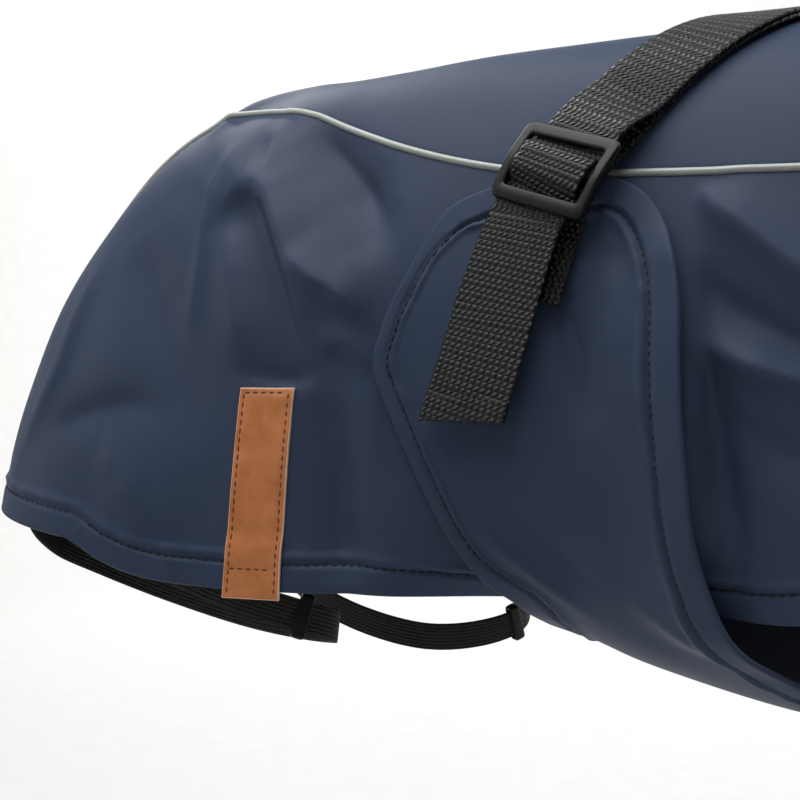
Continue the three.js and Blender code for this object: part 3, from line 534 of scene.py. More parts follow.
def reflective_tape():
    """Retroreflective tape over a cord: grey, satin, with a fine speckle of glass beads."""
    material, tree = new_material("retroreflective_tape")
    where = add(tree, COORDINATES, output="Object")
    beads = add(tree, NOISE, {"Vector": where, "Scale": per_metre(0.5), "Roughness": 0.7})
    finish_material(tree, {
        "Base Color": add(tree, RAMP, {"Fac": beads}, ramp=((0.3, "#868b88"), (0.7, "#a3a8a4"))),
        "Roughness": 0.42, "Metallic": 0.15, "Specular IOR Level": 0.6,
    }, beads, 0.00005, 0.5)
    return material


def tan_leather():
    """Smooth vegetable-tanned leather: warm tan with fine pores, a little uneven."""
    material, tree = new_material("tan_leather_grain_side")
    where = add(tree, COORDINATES, output="Object")
    clouds = add(tree, NOISE, {"Vector": where, "Scale": per_metre(9), "Detail": 4, "Roughness": 0.6})
    pores = add(tree, CELLS, {"Vector": where, "Scale": per_metre(0.8)}, output="Distance")
    finish_material(tree, {
        "Base Color": add(tree, RAMP, {"Fac": clouds}, ramp=((0.3, "#a4612f"), (0.7, "#bd7648"))),
        "Roughness": add(tree, RANGE, {"Value": clouds, **FROM_NOISE, "To Min": 0.42, "To Max": 0.55}),
    }, pores, 0.00008, 0.5)
    return material


def leather_edge():
    """Cut edge of the leather: pale and fibrous."""
    material, tree = new_material("tan_leather_cut_edge")
    where = add(tree, COORDINATES, output="Object")
    fibres = add(tree, NOISE, {"Vector": where, "Scale": per_metre(0.7), "Detail": 3, "Roughness": 0.7})
    colour = add(tree, RAMP, {"Fac": fibres}, ramp=((0.3, "#d9a988"), (0.7, "#f1cbb0")))
    finish_material(tree, {"Base Color": colour, "Roughness": 0.85}, fibres, 0.0001, 0.8)
    return material


def belt_weave():
    """Polypropylene webbing: cross rows of short slanted yarns between finer dotted rows, black with a greasy
    lustre, and a painted highlight on each yarn's crown with painted shade in the gaps between the yarns."""
    material, tree = new_material("woven_polypropylene_webbing")
    along, across = woven_lengths(tree)
    where = add(tree, COORDINATES, output="Object")
    # The yarns and their rows are drawn coarser than real ones, so that they show.
    yarn_pitch, slant, dot_share, fibre_share = 2.3, 0.6, 0.35, 0.25
    rib = wave(tree, along, RIB_PITCH)
    leaning = add(tree, MATH, {0: along, 1: slant, 2: across}, operation="MULTIPLY_ADD")
    yarn = wave(tree, leaning, yarn_pitch)
    dots = wave(tree, across, yarn_pitch, np.pi / 2)
    between_ribs = add(tree, MATH, {0: rib, 1: -1.0}, operation="MULTIPLY")
    relief = []
    for row, rows_there in ((yarn, rib), (dots, between_ribs)):
        raised = add(tree, MATH, {0: row, 1: 1.0}, operation="ADD")
        there = add(tree, MATH, {0: rows_there, 1: 0.0}, operation="MAXIMUM")
        relief.append(add(tree, MATH, {0: raised, 1: there}, operation="MULTIPLY"))
    yarns = add(tree, MATH, {0: relief[1], 1: dot_share, 2: relief[0]}, operation="MULTIPLY_ADD")
    fibres = add(tree, NOISE, {"Vector": where, "Scale": per_metre(0.5), "Roughness": 0.7})
    height = add(tree, MATH, {0: fibres, 1: fibre_share, 2: yarns}, operation="MULTIPLY_ADD")
    # The colour rises with the relief: the lighter yarn crowns are a painted highlight and the black gaps
    # painted shade.
    painted_glint_and_shade = add(tree, MATH, {0: height, 1: 0.5}, operation="MULTIPLY")
    finish_material(tree, {
        "Base Color": add(tree, RAMP, {"Fac": painted_glint_and_shade}, ramp=((0.38, "#020302"), (1, "#3a4037"))),
        "Roughness": 0.42, "Specular IOR Level": 0.35,
    }, height, 0.0008)
    return material


def moulded_acetal():
    """Injection-moulded acetal: black, satin, with a fine spark-eroded texture."""
    material, tree = new_material("moulded_acetal")
    where = add(tree, COORDINATES, output="Object")
    spark = add(tree, NOISE, {"Vector": where, "Scale": per_metre(0.6), "Detail": 3, "Roughness": 0.6})
    clouds = add(tree, NOISE, {"Vector": where, "Scale": per_metre(12)})
    finish_material(tree, {
        "Base Color": add(tree, RAMP, {"Fac": clouds}, ramp=((0.3, "#0a0b0a"), (0.7, "#121311"))),
        "Roughness": add(tree, RANGE, {"Value": spark, **FROM_NOISE, "To Min": 0.32, "To Max": 0.42}),
        "Specular IOR Level": 0.22,
    }, spark, 0.00005, 0.5)
    return material


def ribbed_elastic():
    """Woven elastic: black, with fine ribs along it and the rubber's cross ripple."""
    material, tree = new_material("woven_elastic")
    along, across = woven_lengths(tree)
    rib_pitch, ripple_pitch, ripple_share = 1.5, 1.2, 0.6
    layers = {0: wave(tree, along, ripple_pitch), 1: ripple_share, 2: wave(tree, across, rib_pitch)}
    height = add(tree, MATH, layers, operation="MULTIPLY_ADD")
    colour = add(tree, RAMP, {"Fac": height}, ramp=((0, "#090907"), (1, "#22221d")))
    finish_material(tree, {"Base Color": colour, "Roughness": 0.8}, height, 0.0002, 0.8)
    return material


def thread(name, hex_colour):
    """Twisted polyester thread: two plies that wind round each other."""
    material, tree = new_material(name)
    where = add(tree, COORDINATES, output="Object")
    plies = add(tree, NOISE, {"Vector": where, "Scale": per_metre(0.4), "Roughness": 0.6})
    finish_material(tree, {"Base Color": linear(hex_colour), "Roughness": 0.7}, plies, 0.00008, 0.6)
    return material


FACE = coated_cloth()
BACK = cloth_back()
TAPE = reflective_tape()
LEATHER = tan_leather()
LEATHER_EDGE = leather_edge()
WEBBING = belt_weave()
ACETAL = moulded_acetal()
ELASTIC = ribbed_elastic()
NAVY_THREAD = thread("navy_polyester_thread", "#090c15")
BROWN_THREAD = thread("brown_polyester_thread", "#4a2611")


# Meshes.
def put_mesh(name, points, faces, materials, uv=None, finish=None, replaces=()):
    """Makes a smooth piece from points in millimetres and faces of four corners, riding on the garment. A
    piece that stands for solids carries its own name beside theirs."""
    own_name = name + "_surface" if replaces else name
    mesh = bpy.data.meshes.new(own_name)
    mesh.vertices.add(len(points))
    mesh.vertices.foreach_set("co", (points * METRE).astype(np.float32).ravel())
    mesh.loops.add(faces.size)
    mesh.loops.foreach_set("vertex_index", faces.astype(np.int32).ravel())
    mesh.polygons.add(len(faces))
    mesh.polygons.foreach_set("loop_start", np.arange(0, faces.size, 4, dtype=np.int32))
    mesh.polygons.foreach_set("use_smooth", np.ones(len(faces), bool))
    for material in materials:
        mesh.materials.append(material)
    if finish is not None:
        mesh.polygons.foreach_set("material_index", finish.astype(np.int32))
    if uv is not None:
        layer = mesh.uv_layers.new(name="length")
        layer.data.foreach_set("uv", (uv * METRE)[faces.ravel()].astype(np.float32).ravel())
    mesh.update(calc_edges=True)
    mesh.validate()
    piece = bpy.data.objects.new(own_name, mesh)
    bpy.context.scene.collection.objects.link(piece)
    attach(piece, "root")
    if replaces:
        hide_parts(*replaces)
    return piece


def grid_faces(rows, columns, closed=False):
    """Quads of a grid of points, wrapped round its columns where it is closed."""
    i, j = np.meshgrid(np.arange(rows - 1), np.arange(columns if closed else columns - 1), indexing="ij")
    i, j = i.ravel(), j.ravel()
    after = (j + 1) % columns
    here, below = i * columns, (i + 1) * columns
    return np.stack([here + j, below + j, below + after, here + after], -1)


def outward(points, quads):
    """The quads, turned round if they enclose a negative volume."""
    corner = points[quads]
    halves = np.cross(corner[:, 1], corner[:, 2]) + np.cross(corner[:, 2], corner[:, 3])
    return quads[:, ::-1] if (corner[:, 0] * halves).sum() < 0 else quads


def wall(outer, inner):
    """Points and quads of a closed wall between two grids, and which of the quads are on the inner face."""
    rows, columns = outer.shape[:2]
    count = rows * columns
    face = grid_faces(rows, columns)
    number = np.arange(count).reshape(rows, columns)
    rim = np.concatenate([number[:-1, 0], number[-1, :-1], number[:0:-1, -1], number[0, :0:-1]])
    after = np.roll(rim, -1)
    side = np.stack([rim, rim + count, after + count, after], -1)
    quads = np.concatenate([face, face[:, ::-1] + count, side])
    points = np.concatenate([outer.reshape(-1, 3), inner.reshape(-1, 3)])
    inside = np.zeros(len(quads))
    inside[len(face):2 * len(face)] = 1
    return points, outward(points, quads), inside


def cloth_piece(name, inner, normal, edge, seam, stitched):
    """Cloth wall on a grid: round at its free edges and at its seams, thicker at the turned hem."""
    full = CLOTH + stitched
    round_edge = rounded(edge) * rounded(seam, 2.6)
    middle = CLOTH * 0.45
    outer = inner + normal * (middle + (full - middle) * round_edge)[..., None]
    back = inner + normal * (middle * (1 - rounded(edge) * rounded(seam, 1.0)))[..., None]
    points, quads, inside = wall(outer, back)
    length = np.stack([lengths_along(inner, 0), lengths_along(inner, 1)], -1)
    uv = np.concatenate([length.reshape(-1, 2)] * 2)
    return put_mesh(name, points, quads, [FACE, BACK], uv, inside, [name]), outer


def ring_rows(angle_line, steps):
    """Ring numbers at close steps near the neck and the rear hem, and even steps between."""
    s = np.linspace(0, LAST, 1501)
    length = lengths_along(coat_form(s, angle_line))
    wanted = spread(length[-1], HEM_STEPS, HEM_STEPS, steps)
    return np.interp(wanted, length, s)


def angles_between(s, start, end, at_start, at_end, steps):
    """Ring angles at close steps near both ends of an arc of every ring, and even steps between."""
    share = np.linspace(0, 1, 161)
    angle = mix(start[:, None], end[:, None], share)
    length = lengths_along(coat_form(s[:, None], angle), 1)
    wanted = spread(length[:, -1], at_start, at_end, steps)
    return np.stack([np.interp(w, run, a) for w, run, a in zip(wanted, length, angle)])


def degrees_for(s, angle, span):
    """Degrees of a ring angle that span this many millimetres."""
    return 2 * span / np.linalg.norm(coat_form(s, angle + 1) - coat_form(s, angle - 1), axis=-1)


# Gap between a panel and its piping's line, how far each side of the chest passes its middle seam, and the
# angle of the lower edge past which the chest is closed.
SEAM_HALF, CHEST_LAP, CLOSED_ANGLE = 0.12, 0.12, 174
DENSE = np.linspace(0, LAST, 700)
OPEN = DENSE[hem_angle(DENSE) < CLOSED_ANGLE]


def coat_line(s, angle):
    return coat(s, angle)[0]


NECK_EDGE = coat_line(0.0, np.linspace(-180, 180, 300))
REAR_EDGE = coat_line(float(LAST), np.linspace(-90, 90, 260))
LOWER_EDGE = {side: coat_line(OPEN, side * hem_angle(OPEN)) for side in (1, -1)}
PIPING_LINE = {side: coat_line(DENSE, side * between(RINGS, DENSE)[:, PIPED]) for side in (1, -1)}


# Column of a stitch line that holds the length along its edge, after its points and normals.
ALONG = 6


def stitch_line(grid, normal, away, along, wanted):
    """Points and normals where the distance from the edge passes the wanted one, in order along it. They
    are averaged in short bins, and the line is parted where it jumps to another edge."""
    longest_jump, bin_length, longest_gap, fewest = 40, 2.5, 25, 6
    found = []
    stack = np.concatenate([grid, normal, along[..., None]], -1)
    for rows, distance in ((stack, away), (stack.swapaxes(0, 1), away.T)):
        low, high = distance[:-1], distance[1:]
        near = np.abs(np.diff(rows[..., ALONG], axis=0)) < longest_jump
        hit = ((low - wanted) * (high - wanted) < 0) & near
        share = ((wanted - low[hit]) / (high[hit] - low[hit]))[:, None]
        found.append(mix(rows[:-1][hit], rows[1:][hit], share))
    line = np.concatenate(found)
    line = line[np.argsort(line[:, ALONG])]
    bins = np.floor(line[:, ALONG] / bin_length).astype(int)
    _, start = np.unique(bins, return_index=True)
    count = np.diff(np.append(start, len(bins)))[:, None]
    averaged = np.add.reduceat(line, start) / count
    breaks = np.flatnonzero(np.linalg.norm(np.diff(averaged[:, :3], axis=0), axis=1) > longest_gap) + 1
    return [part for part in np.split(averaged, breaks) if len(part) > fewest]


def resampled(line, spacing):
    """The line at even spacing along its length."""
    run = lengths_along(line[:, :3])
    at = np.arange(spacing / 2, run[-1], spacing)
    return np.stack([np.interp(at, run, column) for column in line.T], -1)


def stitch_pieces(lines, pitch, share, width, rise, sink=0.12):
    """One rounded thread for each stitch: it leaves the cloth, lies along the line and goes back in. Its
    height and thickness follow a flattened half sine."""
    steps, sides, fine_steps, flattened, least_width, flat_section = 5, 6, 10, 0.6, 0.45, 0.8
    points, quads = [], []
    count = 0
    for line in lines:
        fine = resampled(line, pitch / fine_steps)
        total = (len(fine) - 1) // fine_steps
        start = np.arange(total)[:, None] * fine_steps
        index = start + np.linspace(0, fine_steps * share, steps).round().astype(int)
        middle = fine[index][..., :3]
        up = unit(fine[index][..., 3:6])
        ahead = unit(np.gradient(middle, axis=1))
        across = unit(np.cross(ahead, up))
        arch = np.sin(np.linspace(0, np.pi, steps)) ** flattened
        height = (rise * arch - sink)[None, :, None]
        turn = np.linspace(0, 2 * np.pi, sides, endpoint=False)
        size = (least_width + (1 - least_width) * arch)[None, :, None, None] * width / 2
        sideways = np.cos(turn)[:, None] * across[:, :, None]
        upwards = flat_section * np.sin(turn)[:, None] * up[:, :, None]
        grid = (middle + up * height)[:, :, None] + size * (sideways + upwards)
        body = grid_faces(steps, sides, True)
        first, last = np.arange(sides), (steps - 1) * sides + np.arange(sides)
        caps = [[first[0], first[1], first[2], first[3]], [first[0], first[3], first[4], first[5]],
                [last[3], last[2], last[1], last[0]], [last[5], last[4], last[3], last[0]]]
        one = np.concatenate([body, np.array(caps)])
        quads.append((one[None] + count + np.arange(total)[:, None, None] * steps * sides).reshape(-1, 4))
        points.append(grid.reshape(-1, 3))
        count += total * steps * sides
    return np.concatenate(points), np.concatenate(quads)


def stitches(name, lines, material, pitch=STITCH_PITCH, share=0.7, width=0.8, rise=0.36):
    points, quads = stitch_pieces(lines, pitch, share, width, rise)
    return put_mesh(name, points, outward(points, quads), [material])


def side_panel(side):
    """Side panel between the piping and the hem, and in front round the chest to its middle seam."""
    s = ring_rows(60.0, 250)
    piped = between(RINGS, s)[:, PIPED]
    upper = piped + degrees_for(s, piped, SEAM_HALF)
    hem = hem_angle(s)
    lower = np.where(hem > CLOSED_ANGLE, hem + degrees_for(s, 178, CHEST_LAP), hem)
    angle = side * angles_between(s, upper, lower, SEAM_STEPS, HEM_STEPS, 64)
    inner, normal = coat(np.broadcast_to(s[:, None], angle.shape), angle)
    edges = [NECK_EDGE, REAR_EDGE, LOWER_EDGE[side]]
    edge, along = to_edges(inner, edges)
    seam = to_edges(inner, [PIPING_LINE[side]])[0] - SEAM_HALF
    name = "side_panel_right" if side > 0 else "side_panel_left"
    stitched = turned_hem(edge) + puckers(edge, along)
    piece, outer = cloth_piece(name, inner, normal, edge, np.maximum(seam, 0), stitched)
    lines = stitch_line(outer, normal, edge, along, STITCH_IN)
    return piece, lines


def back_panel():
    """Back panel between the two rows of piping, from the neck to the rear hem."""
    s = ring_rows(0.5, 230)
    piped = between(RINGS, s)[:, PIPED]
    half = piped - degrees_for(s, piped, SEAM_HALF)
    angle = angles_between(s, -half, half, SEAM_STEPS, SEAM_STEPS, 88)
    inner, normal = coat(np.broadcast_to(s[:, None], angle.shape), angle)
    edge, along = to_edges(inner, [NECK_EDGE, REAR_EDGE])
    seam = to_edges(inner, [PIPING_LINE[1], PIPING_LINE[-1]])[0] - SEAM_HALF
    piece, outer = cloth_piece("back_panel", inner, normal, edge, np.maximum(seam, 0), turned_hem(edge))
    return piece, stitch_line(outer, normal, edge, along, STITCH_IN)


def squared_circle(sides, power):
    """Cosines and sines round a circle, each to a power with its sign kept: squarer as it falls below 1."""
    turn = np.linspace(0, 2 * np.pi, sides, endpoint=False)
    cosine, sine = np.cos(turn), np.sin(turn)
    return np.sign(cosine) * np.abs(cosine) ** power, np.sign(sine) * np.abs(sine) ** power


def tube(middle, across, up, width, thick, sides, power=1.0):
    """Grid of rings round a path: a squared circle, times half width and half thickness."""
    cosine, sine = squared_circle(sides, power)
    wide = np.asarray(width, float).reshape(-1, 1, 1) / 2
    high = np.asarray(thick, float).reshape(-1, 1, 1) / 2
    ring = wide * cosine[:, None] * across[:, None] + high * sine[:, None] * up[:, None]
    return middle[:, None] + ring


def closed_tube(grid):
    """Points and quads of a tube whose ends are closed by rings drawn together to their middles."""
    ends = [grid[:1].mean(1, keepdims=True), grid[-1:].mean(1, keepdims=True)]
    first = np.broadcast_to(ends[0], grid[:1].shape) * 0.999 + grid[:1] * 0.001
    last = np.broadcast_to(ends[1], grid[-1:].shape) * 0.999 + grid[-1:] * 0.001
    full = np.concatenate([first, grid, last])
    points = full.reshape(-1, 3)
    return points, outward(points, grid_faces(len(full), grid.shape[1], True))


def piping(side):
    """Round cord in tape along the seam between back and side panel."""
    s = np.linspace(0, LAST, 420)
    angle = side * between(RINGS, s)[:, PIPED]
    inner, up = coat(s, angle)
    middle = inner + up * CLOTH
    ahead = unit(np.gradient(middle, axis=0))
    across = unit(np.cross(ahead, up))
    grid = tube(middle, across, up, PIPING, PIPING, 14)
    points, quads = closed_tube(grid)
    name = "piping_right" if side > 0 else "piping_left"
    return put_mesh(name, points, quads, [TAPE], replaces=[name])


def apron_grid():
    """Rows round the trunk from the right wing over the belly to the left wing, and columns from the rear
    edge to the front one: turn and x of every point, and its share of the way to the front."""
    half = len(APRON) - 1
    place = np.linspace(0, half, 1201)
    row = between(APRON, place)
    middle_x = (row[:, REAR_X] + row[:, FRONT_X]) / 2
    length = lengths_along(trunk_form(middle_x, row[:, TURN]))
    wanted = spread(length[-1], HEM_STEPS, np.array([0.0]), 140)
    right = np.interp(wanted, length, place)
    place = np.concatenate([right, right[-2::-1]])
    row = between(APRON, place)
    turn = row[:, TURN].copy()
    turn[len(right):] = 360 - turn[len(right):]
    width = row[:, FRONT_X] - row[:, REAR_X]
    x = row[:, REAR_X, None] + spread(width, HEM_STEPS, HEM_STEPS, 46)
    share = (x - row[:, REAR_X, None]) / width[:, None]
    return x, np.broadcast_to(turn[:, None], x.shape), share


# How much narrower the hem is along the rear edges of the wings.
NARROW_HEM = 0.95


def belly_apron():
    """Belly apron: one panel with a wing up each side, sewn to the hem of the chest in front."""
    x, turn, share = apron_grid()
    inner, normal = apron(x, turn, share)
    sewn = half_turn(turn[:, -1]) < CHEST_TURN - 0.5
    first, last = np.flatnonzero(sewn)[[0, -1]]
    front_right, front_left = inner[:first + 1, -1][::-1], inner[last:, -1][::-1]
    outline = np.concatenate([front_right, inner[0, ::-1], inner[:, 0], inner[-1], front_left])
    edge, along = to_edges(inner, [outline])
    seam = np.full(edge.shape, NO_SEAM)
    half = half_turn(turn)
    wing = smooth((106 - half) / 8) * smooth((half - 36) / 12)
    rear = 1 - smooth((share - 0.22) / 0.3)
    hem = edge * (1 + NARROW_HEM * wing * rear)
    stitched = turned_hem(hem, APRON_GROOVE) + puckers(hem, along)
    piece, outer = cloth_piece("belly_apron", inner, normal, edge, seam, stitched)
    return piece, stitch_line(outer, normal, hem, along, STITCH_IN)


# Belt: place of the slide, and how far the parts of the belt lean along the trunk for a degree of turn.
SLIDE_X, SLIDE_TURN, LEAN, STRAIGHT, SEWN_LEAN, TAIL_LEAN = 36.0, 111.5, 1.2, 43.0, 0.6, 0.74
TAIL_KNEE, TAIL_END = 104.0, 77.0
# The slide rides up at its front end: rise for each millimetre across, and its turn against the belt.
SLIDE_RISE, SLIDE_SKEW = 0.16, np.radians(5.0)


def strap_x(turn):
    """The belt's line: straight by the lean from the slide, rounded over the ridge."""
    rise = half_turn(turn) - SLIDE_TURN
    crown = np.maximum(0, rise - STRAIGHT)
    return SLIDE_X + LEAN * rise - LEAN / 2 / (180 - SLIDE_TURN - STRAIGHT) * crown ** 2


def tail_x(turn):
    below = strap_x(np.float64(TAIL_KNEE)) - TAIL_LEAN * (TAIL_KNEE - turn)
    return np.where(turn < TAIL_KNEE, below, strap_x(turn))


def sewn_x(turn):
    return np.where(turn < SLIDE_TURN, SLIDE_X - SEWN_LEAN * (SLIDE_TURN - turn), strap_x(turn))


def belt_floor(turn):
    """Lowest face of the belt over the form: over the apron, over the piping, then on the back."""
    half = half_turn(turn)
    over_apron = APRON_LIFT + CLOTH + HEM_RISE + SEAM + 0.9
    over_piping = CLOTH + PIPING / 2 + SEAM + 0.1
    on_back = CLOTH + SEAM + 0.6
    from_apron = mix(over_apron, over_piping, smooth((half - 113.5) / 7))
    return mix(from_apron, on_back, smooth((half - 118) / 9))


def on_line(line, turn, out, rise=0.0):
    """Middle of a ribbon on a line round the trunk, at a height over the form, and its direction across.
    The ribbon's front edge rises by a share of its width, and its rear edge keeps its height."""
    turn = np.asarray(turn, float)
    out = out + BELT_WIDTH / 2 * rise

    def place(at):
        point, normal = trunk(line(at), at)
        return point + normal * np.asarray(out)[..., None], normal

    middle, up = place(turn)
    ahead = unit(place(turn + 0.5)[0] - place(turn - 0.5)[0])
    across = unit(np.cross(ahead, up)) + up * np.asarray(rise, float)[..., None]
    return np.concatenate([middle, unit(across)], -1)


def turn_length(turn):
    """Millimetres round the trunk for one degree of turn on the belt's line."""
    ends = [trunk(strap_x(np.float64(t)), np.float64(t)) for t in (turn - 0.5, turn + 0.5)]
    return np.linalg.norm((ends[1][0] + 6 * ends[1][1]) - (ends[0][0] + 6 * ends[0][1]))


RING_WIDTH, RING_LENGTH, RING_WIRE, RING_TURN = 40.0, 17.0, 3.4, 256.0
WIRE_AWAY = (RING_LENGTH - RING_WIRE) / 2
FOLD = RING_WIRE / 2 + 2 * SEAM + BELT_THICK / 2
SLIDE_UNIT = turn_length(SLIDE_TURN)


# Height of the belt over its floor at the slide, and how much higher it passes over the bar.
AT_SLIDE, OVER_BAR = 2.55, 5.15


def belt_path():
    """Sewn end on the right wing, over the back, round the wire ring, back over it, through the slide, and
    down as the free tail: middles and directions across."""
    half = BELT_THICK / 2
    wire = RING_TURN - WIRE_AWAY / turn_length(RING_TURN)
    lower = np.arange(92, wire - 1, 0.5)
    parts = [on_line(sewn_x, lower, belt_floor(lower) + half)]
    centre = belt_floor(np.float64(wire)) + half + FOLD
    bend = np.linspace(0, np.pi, 18)
    bend_turn = wire + np.sin(bend) * FOLD / turn_length(wire)
    parts.append(on_line(strap_x, bend_turn, centre - np.cos(bend) * FOLD))
    upper = np.arange(wire - 2, SLIDE_TURN + 20 / SLIDE_UNIT, -0.5)
    away = (upper - SLIDE_TURN) * SLIDE_UNIT
    height = belt_floor(upper) + half + BELT_THICK + SEAM
    height = height + (2 * FOLD - BELT_THICK - SEAM) * smooth((upper - (wire - 9)) / 8)
    at_slide = belt_floor(np.float64(SLIDE_TURN)) + AT_SLIDE
    near_slide = smooth((46 - away) / 28)
    parts.append(on_line(strap_x, upper, mix(height, at_slide, near_slide), SLIDE_RISE * near_slide))
    along = np.linspace(18, -18, 60)
    woven = at_slide + OVER_BAR * smooth((9.6 - np.abs(along)) / 6.4)
    parts.append(on_line(tail_x, SLIDE_TURN + along / SLIDE_UNIT, woven, SLIDE_RISE * np.ones(60)))
    share = np.linspace(0.03, 1, 60)
    tail = mix(SLIDE_TURN - 18 / SLIDE_UNIT, TAIL_END, share)
    fall = SLIDE_RISE * (1 - 0.8 * smooth(share / 0.6))
    parts.append(on_line(tail_x, tail, at_slide + 0.4 + 1.6 * smooth(share), fall))
    return np.concatenate(parts)


# Squareness of a ribbon's section, its doubled end's extra thickness, and the length its slant takes.
RIBBON_POWER, DOUBLE_SHARE, SLANT_LENGTH = 0.28, 1.1, 24


def webbing(name, path, width, thick, sides, spacing, material, slot, relief=0.0, double_end=0.0,
            slant=0.0):
    """Ribbon along a path of middles and directions across: a flat oval section, ribbed across, with its
    UV map in lengths along and across. Its end is cut aslant, longer by the slant at one edge."""
    run = lengths_along(path[:, :3])
    at = np.linspace(0, run[-1], int(run[-1] / spacing))
    line = np.stack([np.interp(at, run, column) for column in path.T], -1)
    kernel = np.ones(5) / 5
    padded_line = np.concatenate([line[:1]] * 2 + [line] + [line[-1:]] * 2)
    line = np.stack([np.convolve(column, kernel, "valid") for column in padded_line.T], -1)
    middle = line[:, :3]
    ahead = unit(np.gradient(middle, axis=0))
    across = unit(line[:, 3:])
    up = unit(np.cross(across, ahead))
    across = unit(np.cross(ahead, up))
    left = at[-1] - at
    ends = rounded(np.minimum(at, left) + 0.25, 0.9)
    high = thick * ends + relief * np.abs(np.sin(np.pi * at / RIB_PITCH))
    if double_end:
        high = high + DOUBLE_SHARE * thick * smooth((double_end - left) / 2.5) * ends
    grid = tube(middle, across, up, width, high, sides, RIBBON_POWER)
    place_across = squared_circle(sides, RIBBON_POWER)[0] * width / 2
    longer = slant * (0.5 - place_across / width) * smooth(1 - left / SLANT_LENGTH)[:, None]
    grid = grid + longer[..., None] * ahead[:, None]
    points, quads = closed_tube(grid)
    u = at[:, None] + longer
    u = np.concatenate([u[:1], u, u[-1:]])
    uv = np.stack(np.broadcast_arrays(u, place_across[None]), -1).reshape(-1, 2)
    return put_mesh(name, points, quads, [material], uv, replaces=[name])


def strap_frame(turn, out, rise=0.0, skew=0.0):
    """Middle, across, along and up of a flat piece on the belt's line, raised at its front end and turned
    in its own plane."""
    line = on_line(strap_x, np.float64(turn), np.float64(out), rise)
    up = trunk(strap_x(np.float64(turn)), np.float64(turn))[1]
    across = line[3:]
    along = unit(np.cross(up, across))
    turned = across * np.cos(skew) + along * np.sin(skew)
    along = along * np.cos(skew) - across * np.sin(skew)
    return line[:3], turned, along, unit(np.cross(turned, along))


def moulding(name, points, quads, middle, across, along, up):
    """Moulded black piece with its own points set down in the frame of its place on the garment."""
    placed = middle + points[:, :1] * across + points[:, 1:2] * along + points[:, 2:] * up
    return put_mesh(name, placed, outward(placed, quads), [ACETAL], replaces=[name])


def rounded_outline(width, length, corner, count):
    """Rounded rectangle as count points, in the same order for every size. Each quarter has two flat runs,
    and between them an arc."""
    flat = 0.32
    turn = np.linspace(0, 2 * np.pi, count, endpoint=False)
    fraction = (turn % (np.pi / 2)) / (np.pi / 2)
    quarter = (turn // (np.pi / 2)).astype(int)
    half_wide, half_long = width / 2 - corner, length / 2 - corner
    even = quarter % 2 == 0
    share = clamp01((fraction - flat) / (1 - 2 * flat)) * np.pi / 2
    sx = np.array([1, -1, -1, 1])[quarter]
    sy = np.array([1, 1, -1, -1])[quarter]
    before = clamp01(fraction / flat)
    after = clamp01((fraction - 1 + flat) / flat)
    x_even = half_wide * (1 - after) + corner * np.cos(share)
    y_even = half_long * before + corner * np.sin(share)
    x_odd = half_wide * before + corner * np.sin(share)
    y_odd = half_long * (1 - after) + corner * np.cos(share)
    x = np.where(even, x_even, x_odd) * sx
    y = np.where(even, y_even, y_odd) * sy
    return np.stack([x, y], -1)


def frame_section(outer, inner, thick, sides, power):
    """Closed ring between two outlines, its section a squared oval."""
    cosine, sine = squared_circle(sides, power)
    middle, half = (outer + inner) / 2, (outer - inner) / 2
    flat = middle[:, None] + cosine[:, None] * half[:, None]
    height = np.broadcast_to(sine * thick / 2, flat.shape[:2])
    return np.concatenate([flat, height[..., None]], -1)


def closed_ring(grid):
    """Points and quads of a ring of sections that joins its own start."""
    rows, columns = grid.shape[:2]
    full = grid_faces(rows + 1, columns, True) % (rows * columns)
    points = grid.reshape(-1, 3)
    return points, outward(points, full)


SLIDE_OUTER, SLIDE_INNER, SLIDE_BAR, SLIDE_BOW = (40, 31), (31.9, 20.6), 17.6, 0.13


def slide():
    """Slide: rounded frame with a middle bar, bowed along the belt so that it follows the coat: lowered by
    a share of the root of its distance from the bar squared plus 9."""
    outer = rounded_outline(*SLIDE_OUTER, 3.5, 160)
    inner = rounded_outline(*SLIDE_INNER, 1.2, 160)
    ring = frame_section(outer, inner, 3.0, 20, 0.55)
    points, quads = closed_ring(ring)
    path = np.linspace(-SLIDE_BAR, SLIDE_BAR, 30)[:, None] * np.array([1.0, 0, 0])
    bar = tube(path, np.tile([0.0, 1, 0], (30, 1)), np.tile([0.0, 0, 1], (30, 1)), 4.5, 2.6, 16, 0.6)
    bar_points, bar_quads = closed_tube(bar)
    quads = np.concatenate([quads, bar_quads + len(points)])
    points = np.concatenate([points, bar_points])
    points[:, 2] -= SLIDE_BOW * np.sqrt(points[:, 1] ** 2 + 9)
    out = belt_floor(np.float64(SLIDE_TURN)) + 5.5
    return moulding("belt_slide", points, quads, *strap_frame(SLIDE_TURN, out, SLIDE_RISE, SLIDE_SKEW))


def wire_ring():
    """Round wire bent to a rounded rectangle on the left wing."""
    outline = rounded_outline(RING_WIDTH + RING_WIRE, RING_LENGTH + RING_WIRE, 5.5, 140)
    inner = rounded_outline(RING_WIDTH - RING_WIRE, RING_LENGTH - RING_WIRE, 2.2, 140)
    points, quads = closed_ring(frame_section(outline, inner, RING_WIRE, 14, 1.0))
    out = belt_floor(np.float64(RING_TURN)) + BELT_THICK / 2 + FOLD - 0.15
    return moulding("belt_ring", points, quads, *strap_frame(RING_TURN, out))


